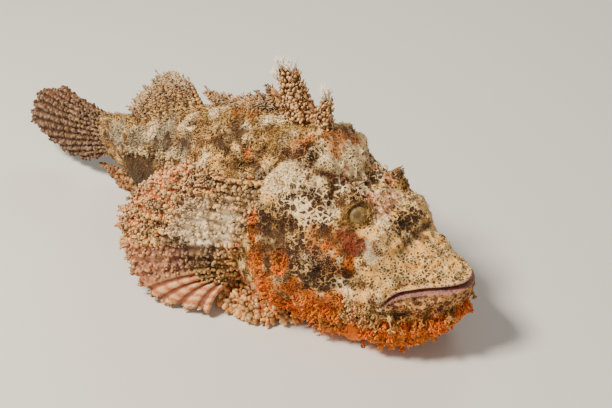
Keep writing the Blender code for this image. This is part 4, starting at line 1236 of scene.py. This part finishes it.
def sow(points, normals, weight, count, wrap=True):
    """Picks places on a grid: a cell with a chance of its area times its weight, then a place inside it."""
    right = np.roll(points, -1, axis=1) if wrap else points[:, 1:]
    left = points if wrap else points[:, :-1]
    area = np.linalg.norm(np.cross(right[:-1] - left[:-1], left[1:] - left[:-1]), axis=-1)
    chance = area * weight[:-1, : area.shape[1]]
    cells = dice.choice(chance.size, count, p=(chance / chance.sum()).ravel())
    i, j = np.divmod(cells, area.shape[1])
    di, dj = dice.random(count), dice.random(count)
    after = (j + 1) % points.shape[1]
    top = points[i, j] * (1 - dj)[:, None] + points[i, after] * dj[:, None]
    low = points[i + 1, j] * (1 - dj)[:, None] + points[i + 1, after] * dj[:, None]
    place = top * (1 - di)[:, None] + low * di[:, None]
    unwrap = np.stack([(i + di) / points.shape[0], (j + dj) / points.shape[1]], -1)
    return {"place": place, "out": normals[i, j], "i": i, "j": j, "unwrap": unwrap}


def rings_of(roots, lie, length, width, lean, curl, shape=THORN, corners=3, flatten=0.5, sink=0.3):
    """Points of many forms: at the share t of the length the direction is out cos(angle) + lie sin(angle).

    The angle is lean at the root and curl more at the tip. width is the whole width, flatten the thickness as a share
    of it, and sink how much of the width the root is set into the skin.
    """
    out = roots["out"]
    lie = unit(lie - out * (lie * out).sum(-1, keepdims=True))
    across = np.cross(out, lie)
    at = roots["place"] - out * (width * sink)[:, None]
    made, tips, before = [], [], 0.0
    for t, share in (*shape, (1.0, 0.0)):
        angle = lean + curl * t
        along = out * np.cos(angle)[:, None] + lie * np.sin(angle)[:, None]
        at = at + along * (length * (t - before))[:, None]
        before = t
        if share == 0.0:
            made.append(at[:, None, :])
            tips.append(np.ones(1))
            break
        thin = np.cross(along, across)
        turn = 2 * math.pi * np.arange(corners) / corners
        shift = across[:, None] * np.cos(turn)[:, None] + thin[:, None] * (flatten * np.sin(turn))[:, None]
        made.append(at[:, None] + shift * (width * share / 2)[:, None, None])
        tips.append(np.full(corners, t))
    points = np.concatenate(made, axis=1)
    points[..., 2] = np.maximum(points[..., 2], 0.1 * MM)
    return points, np.concatenate(tips)


def form_faces(rings, corners):
    """Faces of one form: cells between its rings, a fan at the tip and a fan under the root."""
    c = np.arange(corners)
    after = (c + 1) % corners
    bands = [
        np.stack([k * corners + c, k * corners + after, (k + 1) * corners + after, (k + 1) * corners + c], -1)
        for k in range(rings - 1)
    ]
    last = (rings - 1) * corners
    fan = np.stack([last + c, last + after, np.full(corners, rings * corners)], -1)
    inner = np.arange(1, corners - 1)
    under = np.stack([inner + 1, inner, 0 * inner], -1)
    return np.concatenate(bands), np.concatenate([fan, under])


def grow(roots, lie, length, width, lean, curl, vary=0.35, stray=0.5, shape=THORN, corners=3, **more):
    """A bunch of forms whose length, width, lean and lie each vary a little from one to the next."""
    number = len(roots["place"])
    sizes = 1 + vary * dice.uniform(-1, 1, number)
    lie = np.broadcast_to(lie, (number, 3)) + stray * dice.normal(size=(number, 3))
    lean = lean + 0.3 * dice.normal(size=number)
    long, wide = length * MM * sizes, width * MM * (0.5 + 0.5 * sizes)
    points, tips = rings_of(roots, lie, long, wide, lean, curl, shape, corners, **more)
    return {"roots": roots, "points": points, "tips": tips, "rings": len(shape), "corners": corners}


def coat(name, bunches, kept, paint):
    """One mesh of several bunches. kept gives the numbers that the roots of a bunch keep."""
    points, quads, triangles, fields, flat_map = [], [], [], {}, []
    base = 0
    for bunch in bunches:
        made, roots = bunch["points"], bunch["roots"]
        number, each = made.shape[:2]
        one_quads, one_triangles = outwards(made[0], *form_faces(bunch["rings"], bunch["corners"]))
        first = base + np.arange(number)[:, None, None] * each
        quads.append((one_quads[None] + first).reshape(-1, 4))
        triangles.append((one_triangles[None] + first).reshape(-1, 3))
        points.append(made.reshape(-1, 3))
        turn = 2 * math.pi * np.arange(each) / each
        spread = 0.5 * PATCH * np.stack([np.cos(turn), np.sin(turn)], -1)
        flat_map.append((roots["unwrap"][:, None] + spread[None]).reshape(-1, 2))
        own = {"tip": np.tile(bunch["tips"], number), "root": np.repeat(roots["place"], each, axis=0)}
        own["shade"] = np.repeat(dice.random(number), each)
        own.update({key: np.repeat(value, each) for key, value in kept(roots).items()})
        for key, value in own.items():
            fields.setdefault(key, []).append(value)
        base += number * each
    fields = {key: np.concatenate(parts) for key, parts in fields.items()}
    uv = ("OFBake", np.concatenate(flat_map))
    piece = mesh_of(name, np.concatenate(points), np.concatenate(quads), np.concatenate(triangles), fields, uv, paint)
    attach(piece, "root")
    print(name, 2 * sum(map(len, quads)) + sum(map(len, triangles)), "triangles")
    return piece


def hide_values(roots):
    """The tones of the hide at each root."""
    return {name: field[roots["i"], roots["j"]] for name, field in tones.items()}


TAILWARDS = np.array([-1.0, 0.0, 0.0])
DOWN = np.array([0.0, 0.0, -1.0])
print("a bead of five corners has", 2 * len(form_faces(3, 5)[0]) + len(form_faces(3, 5)[1]), "triangles")

# %% [markdown]
# ## The coat of the body
#
# Low cream warts stand on the net of the head, most of all on its ridges. The trunk has a short felt of threads, the
# back longer ones, and a knobbly fringe runs along the flank. The lips, the inside of the mouth, the eyes and the
# smooth patches stay bare.

# %% Warts, felt and fringe
x_body, z_body = plain[..., 0], plain[..., 2]
clear = ease(off_eye, 5.5 * MM, 7.5 * MM) * (1 - np.clip(tones["lip"] * 2, 0, 1)) * (1 - tones["slit"])
clear *= ease(z_body, 0.5 * MM, 3 * MM) * (1 - 0.92 * tones["bare"])
clear *= 1 - 0.65 * np.maximum(tones["dark"], tones["maroon"])
on_head = ease(x_body, 4 * MM, 16 * MM)
coat_finish = coat_paint("coat", CREAM, 0.6, 0.45)
hair_paint = coat_paint("hairs", CREAM, 1.0, 0.0)
fringe_paint = coat_paint("fringe", CREAM, 0.9, 0.15)


def cover(name, weight, count, *sizes, paint=coat_finish, lie=TAILWARDS, **more):
    """A piece of single forms, sown by a weight on the skin."""
    roots = sow(body, body_out, weight, count)
    coat(name, [grow(roots, lie, *sizes, **more)], hide_values, paint)


cover("coat_warts", clear * on_head * (0.15 + tones["lit_crest"]), 5500, 0.75, 0.62, 0.3, 0.5)
hairy = clear * on_head * (0.3 + tones["pale"] + tones["lit_crest"]) * (1 - 0.6 * tones["holes"])
cover("coat_hairs", hairy, 6500, 1.2, 0.30, 0.2, 0.8, stray=0.9, paint=hair_paint)
trunk = clear * (1 - on_head)
cover("coat_felt", trunk, 15500, 1.15, 0.42, 0.6, 0.7, stray=0.9)
back_height = np.interp(stations, SECTIONS[:, 0], SECTIONS[:, 3])[:, None]
shaggy = trunk * ease(z_body - 0.60 * back_height, 0, 18 * MM)
cover("coat_shag", shaggy, 4500, 2.3, 0.55, 0.6, 0.8, stray=0.9, shape=STEM)

FLANK_LINE = ((-92.8, 10.2, 35.2), (-70.6, 14.4, 44.5), (-49, 18.2, 51.6), (-31, 21.3, 55.4), (-21, 22.7, 56.8))
flank = sum(bell(away, 1.5 * MM) for away in from_parts(half_body, FLANK_LINE))
cover("coat_fringe", flank, 420, 1.9, 1.1, 0.5, 0.6, paint=fringe_paint, lie=TAILWARDS + DOWN, **FLAP)

# %% [markdown]
# ## Beard and clumps
#
# The beard and the orange clumps are fronds: a flap that carries blunt lobes along its length, as some corals do.
# A frond is grown in two steps. First come the stems, and then lobes rooted on the stems, which point outwards and
# to the sides.

# %% Fronds
def fronds(roots, lie, length, width, lean, curl, lobes=7, lobe=0.42, lobe_width=0.85, spread=0.9):
    """A bunch of stems, and a bunch of lobes at random places along the outer part of them."""
    stem = grow(roots, lie, length, width, lean, curl, stray=0.35, shape=STEM)
    number = len(roots["place"])
    pick = np.repeat(np.arange(number), lobes)
    along = dice.uniform(0.35, 1.0, len(pick))
    rings, corners = stem["rings"], stem["corners"]
    middles = [stem["points"][:, k * corners:(k + 1) * corners].mean(1) for k in range(rings)]
    middles = np.stack([*middles, stem["points"][:, -1]], 1)
    step = along * rings
    low = np.minimum(step.astype(int), rings - 1)
    t = (step - low)[:, None]
    lobe_roots = {key: value[pick] for key, value in roots.items()}
    lobe_roots["place"] = middles[pick, low] * (1 - t) + middles[pick, low + 1] * t
    away = unit(middles[:, -1] - middles[:, 0])[pick]
    lobe_roots["out"] = unit(away * 0.8 + spread * dice.normal(size=(len(pick), 3)))
    grown = grow(lobe_roots, lie, lobe * length, width * lobe_width, 0.2, 0.5, vary=0.4, flatten=0.7, **FLAP)
    grown["roots"] = {**lobe_roots, "place": roots["place"][pick]}
    return [stem, grown]


def patch(*places):
    """A weight that is 1 at the given places, in millimetres, and falls off within the given reach."""
    return np.clip(sum(bell(from_place(half_body, place), reach * MM) for *place, reach in places), 0, 1)


def planted(name, weight, count, lie, length, width, lean, curl, paint, **more):
    """A piece of fronds, sown by a weight on the skin."""
    clear_of_lips = 1 - np.clip(2 * tones["lip"] + tones["slit"] + tones["spots"] + 0.9 * tones["bare"], 0, 1)
    roots = sow(body, body_out, weight**1.5 * clear_of_lips * ease(z_body, 0.3 * MM, 2 * MM), count)
    coat(name, fronds(roots, lie, length, width, lean, curl, **more), hide_values, paint)


beard_paint = coat_paint("beard", (0.92, 0.42, 0.12), 0.75, 0.72, root_shade_and_dark_forms=0.35, on_orange=1)
clump_paint = coat_paint("clumps", CREAM, 0.85, 0.55)
chin = patch((66, 23, 15, 6), (72, 19, 16, 6), (78, 16, 16, 6), (84, 12, 18, 6), (89, 7, 20, 6), (91, 2, 20, 5))
chin *= ease(-z_body, -29 * MM, -25 * MM)
planted("coat_beard", chin, 770, DOWN + TAILWARDS * 0.1, 4.4, 1.25, 0.5, 0.8, beard_paint, lobes=8)
cheek = patch((30, 30, 7, 5), (36, 32, 10, 5), (44, 32, 17, 6), (50, 30, 14, 6), (58, 27, 18, 6), (38, 35, 22, 4))
planted("coat_cheeks", cheek, 600, DOWN + TAILWARDS * 0.5, 3.0, 1.15, 0.5, 0.8, beard_paint, lobes=7)
gill = patch(
    (8, 31, 48, 2), (9, 33, 42, 2.2), (11, 34, 37, 2.6), (14, 36, 29, 3), (18, 36, 24, 4), (24, 35, 16, 5),
    (24, 34, 39, 2.2), (26, 36, 34, 2.6),
)
planted("coat_gills", gill, 530, TAILWARDS + DOWN * 0.3, 3.0, 1.0, 0.5, 0.8, beard_paint, lobes=6)
mouth_corner = patch((58, 28, 23, 4), (62, 26, 24, 4), (56, 29, 27, 3))
planted("coat_corner", mouth_corner, 150, DOWN, 3.4, 1.1, 0.5, 0.8, clump_paint, lobes=8)
brow = patch((49, 13, 64, 3), (54, 12, 60, 2.5), (76, 10, 43, 2.0), (44, 9, 67, 3), (22, 16, 77, 3), (14, 24, 68, 3))
planted("coat_brows", brow, 150, TAILWARDS + DOWN * 0.1, 1.9, 0.7, 0.4, 0.6, clump_paint, lobes=5)

# %% [markdown]
# ## Beads and frills on the fins
#
# The fins are as rough as the rest: beads on the rays, frills along the edges, tufts on the upper rays of the side
# fins and threads on the back. They are sown on the two faces of each fin, and their colour comes from the fin's own
# numbers.

# %% Beads and frills
BLUSH, FLAME, STRAW = (0.98, 0.62, 0.38), (0.88, 0.38, 0.07), (0.80, 0.66, 0.44)
OCHRE, OCHRE_DARK = (0.80, 0.50, 0.17), (0.42, 0.185, 0.028)
GAP_SHADE, DUSKY, DUSKY_PALE = (0.080, 0.028, 0.010), (0.062, 0.026, 0.018), (0.25, 0.150, 0.105)


def frill_paint(name, tint, share, start, bead=0.0):
    """The fin's colours at each root, with a tint from the share of the length where it starts.

    bead is how far each form takes a colour of its own: cream, pink, salmon or brown. Painted shade darkens each
    form towards its root, and whole patches of forms stand for shaded gaps among the tufts.
    """
    paint = Paint(name, Specular_IOR_Level=0.3)
    at = paint.place("root")
    ground, small = fin_colour(paint, at)
    tip, shade = paint.value("tip"), paint.value("shade")
    tone = {name: paint.value(name) for name in FIN_ZONES}
    dusk, fire = tone["dusk"], tone["fire"]
    own = paint.layers(
        CREAM,
        (shade.between(0.42, 0.48), PEACH),
        (shade.between(0.58, 0.64), SALMON),
        (shade.between(0.80, 0.86), BROWN),
        (tone["rosy"] * 0.5, BLUSH),
        (fire * shade.between(0.05, 0.40) * 0.85, paint.mix(small, FLAME, SALMON)),
        (tone["olive"] * shade.between(0.95, 0.80), paint.mix(shade.between(0.45, 0.60), OCHRE, OCHRE_DARK)),
    )
    # Painted shade: patches of forms darkened, standing for shaded gaps among the tufts.
    holes = paint.cloud(at, 3.4, 2.0).between(0.47, 0.53) * (0.9 - 0.5 * tone["white"] - 0.3 * fire)
    ground = paint.layers(
        ground,
        (bead * (1 - dusk * 0.55), own),
        (tone["white"] * shade.between(0.05, 0.2) * 0.8, MILK),
        (holes, GAP_SHADE),
        (dusk * (0.7 + 0.5 * small), paint.mix(shade.between(0.62, 0.72), DUSKY, DUSKY_PALE)),
        (tone["mauve"] * 0.7, MAUVE),
        # Painted shade: each form darker towards its root.
        ((1 - tip).between(0.4, 1.0) * 0.7, BROWN),
        (tip.between(start, 1.0) * (share * (1 - 0.6 * dusk)), tint),
    )
    return paint.wear(Base_Color=ground, Roughness=0.6 + 0.2 * small)


def on_fin(kind, node, weight, count, outward, *sizes, **more):
    """Grows one kind of form on both faces of a fin.

    outward turns the roots from the face's normal towards the fin's edge.
    """
    front, back, normal, fields = fins[node]
    way = np.sign(((front - back) * normal).sum())
    chance = np.broadcast_to(weight(fields["u"], fields["v"], fields["ray"]), front.shape[:2])
    sown = []
    for face, turn in ((front, way), (back, -way)):
        facing = unit(normal * turn * (1 - outward) + unit(np.gradient(face, axis=0)) * outward)
        sown.append(sow(face, facing, np.maximum(chance, 1e-6), count // 2, wrap=False))
    roots = {key: np.concatenate([half[key] for half in sown]) for key in sown[0]}
    return kind(roots, TAILWARDS, *sizes, **more)


def fin_coat(name, node, paint, *bunches):
    """One piece of a fin's coat. Each form keeps the fin's numbers at its root."""
    fields = fins[node][3]
    coat(name, bunches, lambda roots: {k: fields[k][roots["i"], roots["j"]] for k in fields}, paint)


def fan_rough(u, v, ray):
    """Where the side fins have beads: on the rays, and hardly on the white middle or the mauve and banded rays."""
    upper = 1 - ease(u, 0.68, 0.74) * ease(v, 0.38, 0.46)
    milky = 0.5 * hill(u, 0.26, 0.54, 0.08) * hill(v, 0.20, 0.48, 0.1)
    outer = 0.2 * ease(v, 0.3, 0.5) * (1 - ease(u, 0.4, 0.5))
    mauve = 0.7 * hill(u, 0.56, 0.72, 0.05) * ease(v, 0.5, 0.7)
    return (0.3 + ray) * ease(v, 0.03, 0.08) * upper * (1 - 0.35 * dusky(u, v)) * (1 - milky - outer) * (1 - mauve)


def fan_tufted(u, v, ray):
    """The outer part of the upper rays."""
    return (0.3 + ray) * ease(v, 0.30, 0.5) * (1 - ease(u, 0.45, 0.58))


def fan_edge(u, v, ray):
    """The edge, less on the lower rays."""
    return ease(v, 0.90, 0.96) * (1 - 0.8 * ease(u, 0.56, 0.62))


def belly_edge(u, v, ray):
    """The outer edge and the last ray."""
    return ease(v, 0.86, 0.95) + ease(u, 0.92, 0.98)


def tail_edge(u, v, ray):
    """The outer edge, and the first and the last ray."""
    return ease(v, 0.92, 0.97) + ease(-u, -0.05, -0.02) + ease(u, 0.96, 0.98)


bead_paint = frill_paint("beads", CREAM, 0.35, 0.5, bead=0.75)
ruffle_paint = frill_paint("ruffles", BONE, 0.8, 0.62, bead=0.6)
thread_paint = frill_paint("fin threads", STRAW, 0.6, 0.5, bead=0.35)
for _, word in SIDES:
    node = "pectoral_fin_" + word
    beads = on_fin(grow, node, fan_rough, 2900, 0, 1.5, 1.5, 0.2, 0.4, 0.75, 0.9, flatten=0.85, sink=0.25, **BALL)
    fin_coat("beads_fan_" + word, node, bead_paint, beads)
    tufts = on_fin(fronds, node, fan_tufted, 750, 0.35, 3.3, 0.95, 0.5, 0.6, lobe_width=1.1, spread=1.0)
    fin_coat("tufts_fan_" + word, node, ruffle_paint, *tufts)
    edge = on_fin(grow, node, fan_edge, 800, 0.8, 2.6, 1.5, 0.2, 0.5, 0.5, flatten=0.45, **FLAP)
    fin_coat("ruffles_fan_" + word, node, ruffle_paint, edge)
    node = "pelvic_fin_" + word
    beads = on_fin(
        grow, node, lambda u, v, ray: 0.15 + ray, 1000, 0, 1.9, 1.8, 0.2, 0.4, 0.6, flatten=0.9, sink=0.25, **BALL
    )
    edge = on_fin(grow, node, belly_edge, 260, 0.8, 2.8, 2.2, 0.2, 0.5, 0.5, flatten=0.8, **BALL)
    fin_coat("beads_belly_" + word, node, bead_paint, beads, edge)

node = "caudal_fin"
beads = on_fin(grow, node, lambda u, v, ray: 0.02 + ray**3, 1500, 0, 1.5, 1.9, 0.3, 0.5, flatten=0.85, **BALL)
edge = on_fin(grow, node, tail_edge, 500, 0.8, 2.0, 1.4, 0.2, 0.5, **FLAP)
fin_coat("beads_tail", node, bead_paint, beads, edge)
node = "anal_fin"
beads = on_fin(grow, node, lambda u, v, ray: 0.2 + v, 900, 0.3, 1.7, 1.6, 0.4, 0.6, flatten=0.7, **BALL)
fin_coat("beads_vent", node, bead_paint, beads)
node = "dorsal_fin_soft"
threads = on_fin(grow, node, lambda u, v, ray: 0.2 + v**2, 3000, 0.4, 1.9, 0.65, 0.5, 0.6, shape=STEM)
tufts = on_fin(
    fronds, node, lambda u, v, ray: ease(v, 0.85, 0.95) * (0.3 + ease(-u, -0.30, -0.15)), 130, 0.8,
    3.2, 0.7, 0.2, 0.4, lobes=6,
)
fin_coat("threads_soft", node, thread_paint, threads, *tufts)
node = "dorsal_fin_spiny"
threads = on_fin(
    grow, node, lambda u, v, ray: (0.2 + v**1.5) * ease(u, 0.32, 0.42), 2600, 0.5, 2.4, 0.65, 0.4, 0.6, shape=STEM
)
tufts = on_fin(
    fronds, node, lambda u, v, ray: ease(v, 0.8, 0.95) * ease(u, 0.34, 0.44), 170, 0.8, 3.6, 0.7, 0.2, 0.4, lobes=5
)
fin_coat("threads_spines", node, thread_paint, threads, *tufts)

# %% [markdown]
# The two tall tufts of the back are cones of frills, tier over tier: small curled flaps, orange brown with a cream rim.
# White threads stand on their tops like a plume. They are rooted round a line inside the spine and point away from it.

# %% Tufts on the tall spines
TUFT_DARK, TUFT_ORANGE = (0.080, 0.026, 0.008), (0.60, 0.220, 0.035)
TUFT_RIM, PLUME_WHITE = (1.0, 0.70, 0.38), (0.95, 0.84, 0.70)


def tuft_paint():
    """Orange brown, cream at the rim, and white where the plume is."""
    paint = Paint("tufts", Specular_IOR_Level=0.3)
    tip, shade, small = paint.value("tip"), paint.value("shade"), paint.cloud(paint.place("root"), 1.6)
    ground = paint.layers(
        TUFT_DARK,
        (shade, TUFT_ORANGE),
        (tip.between(0.40, 0.95) * (0.40 + 0.6 * shade), TUFT_RIM),
        (paint.value("plume"), PLUME_WHITE),
    )
    return paint.wear(Base_Color=ground, Roughness=0.55 + 0.2 * small)


def cone(low, high, wide, narrow, count, rise, plume):
    """Roots inside a cone about the line from low to high. Each points away from the line, and up by the rise.

    plume is 1 for white threads and 0 for frills.
    """
    low, high = np.array(low) * MM, np.array(high) * MM
    t = 1 - dice.random(count) ** 0.75
    turn = dice.uniform(0, 2 * math.pi, count)
    out = np.stack([np.cos(turn), 0.7 * np.sin(turn), 0 * turn], -1)
    reach = (wide + (narrow - wide) * t) * MM * np.sqrt(dice.uniform(0.15, 1, count))
    place = low + (high - low) * t[:, None] + out * reach[:, None]
    unwrap = np.stack([t, turn / (2 * math.pi)], -1)
    return {"place": place, "out": unit(out + [0, 0, rise]), "unwrap": unwrap, "plume": np.full(count, plume)}


UPWARDS = -DOWN
PLUME_RISE = (-1, 0, 3)
tuft_finish = tuft_paint()
TUFTS = {
    "tuft_tall": ((8, 0, 83), (1.5, 0, 103), 8.5, 4.6, 900, ((4, 0, 103), (-1, 0, 103), (-3.5, 0, 97))),
    "tuft_front": ((20, 0, 81), (21.5, 0, 96), 4.2, 2.0, 260, ((21.5, 0, 96),)),
}
for name, (low, high, wide, narrow, count, tops) in TUFTS.items():
    frills = grow(
        cone(low, high, wide, narrow, count, 0.2, 0.0), UPWARDS, 2.5, 1.5, 0.1, 1.4, 0.4, 0.8, flatten=0.3, **FLAP
    )
    plumes = [
        grow(
            cone(top, np.add(top, PLUME_RISE), 1.8, 1.2, 90, 1.2, 1.0), UPWARDS + TAILWARDS * 0.5,
            3.6, 0.8, 0.3, 0.5, 0.4, 0.5,
        )
        for top in tops
    ]
    coat(name, [frills, *plumes], lambda roots: {"plume": roots["plume"]}, tuft_finish)

# %% [markdown]
# ## Camera, floor and light
#
# The camera stands where the photographer's did, found by matching the outline of the solids to the fish. The floor
# is pale and plain. A broad lamp from the upper left makes the soft shadow, and weaker ones lift the rest.

# %% Stage
CAMERA_AZIMUTH, CAMERA_ELEVATION = math.radians(37.55), math.radians(34.34)
CAMERA_DISTANCE, CAMERA_TARGET = 0.44046, Vector((0.00676, 0.0052, 0.03583))
PICTURE_WIDTH, FOCAL_PIXELS, SENSOR = 612, 977.6, 36.0
back_way = Vector((
    math.sin(CAMERA_AZIMUTH) * math.cos(CAMERA_ELEVATION),
    -math.cos(CAMERA_AZIMUTH) * math.cos(CAMERA_ELEVATION),
    math.sin(CAMERA_ELEVATION),
))
lens = bpy.data.cameras.new("camera")
lens.sensor_width = SENSOR
lens.lens = FOCAL_PIXELS * SENSOR / PICTURE_WIDTH
lens.clip_start = 0.01
camera = bpy.data.objects.new("camera", lens)
bpy.context.scene.collection.objects.link(camera)
camera.location = CAMERA_TARGET + back_way * CAMERA_DISTANCE
camera.rotation_mode = "QUATERNION"
camera.rotation_quaternion = (-back_way).to_track_quat("-Z", "Y")
bpy.context.scene.camera = camera

ground = Paint("floor", Roughness=0.9)
ground.shader.inputs["Base Color"].default_value = (0.76, 0.73, 0.67, 1)
FLOOR_HALF = 3.0
floor_points = np.array([(x, y, -0.0002) for x in (-FLOOR_HALF, FLOOR_HALF) for y in (-FLOOR_HALF, FLOOR_HALF)])
floor = mesh_of("floor", floor_points, np.array([[0, 2, 3, 1]]), np.zeros((0, 3), int), paint=ground.material)


def lamp(name, place, aim, size, watts, tint):
    """A square lamp at a place, turned towards another."""
    data = bpy.data.lights.new(name, "AREA")
    data.size = size
    data.energy = watts
    data.color = tint
    obj = bpy.data.objects.new(name, data)
    bpy.context.scene.collection.objects.link(obj)
    obj.location = place
    obj.rotation_mode = "QUATERNION"
    obj.rotation_quaternion = (Vector(aim) - Vector(place)).to_track_quat("-Z", "Y")


lamp("key", (-0.30, -0.45, 0.80), (0.0, 0.0, 0.03), 0.22, 15.5, (1.0, 0.93, 0.81))
lamp("fill", (0.75, -0.55, 0.45), (0.02, 0.0, 0.03), 0.60, 1.7, (1.0, 0.96, 0.90))
lamp("rim", (-0.2, 0.8, 0.6), (0.0, 0.0, 0.04), 0.50, 2.5, (1.0, 1.0, 1.0))
world = bpy.data.worlds.new("studio")
world.use_nodes = True
world.node_tree.nodes["Background"].inputs["Color"].default_value = (0.68, 0.65, 0.60, 1)
world.node_tree.nodes["Background"].inputs["Strength"].default_value = 0.30
bpy.context.scene.world = world
print("camera at", [round(c, 4) for c in camera.location])
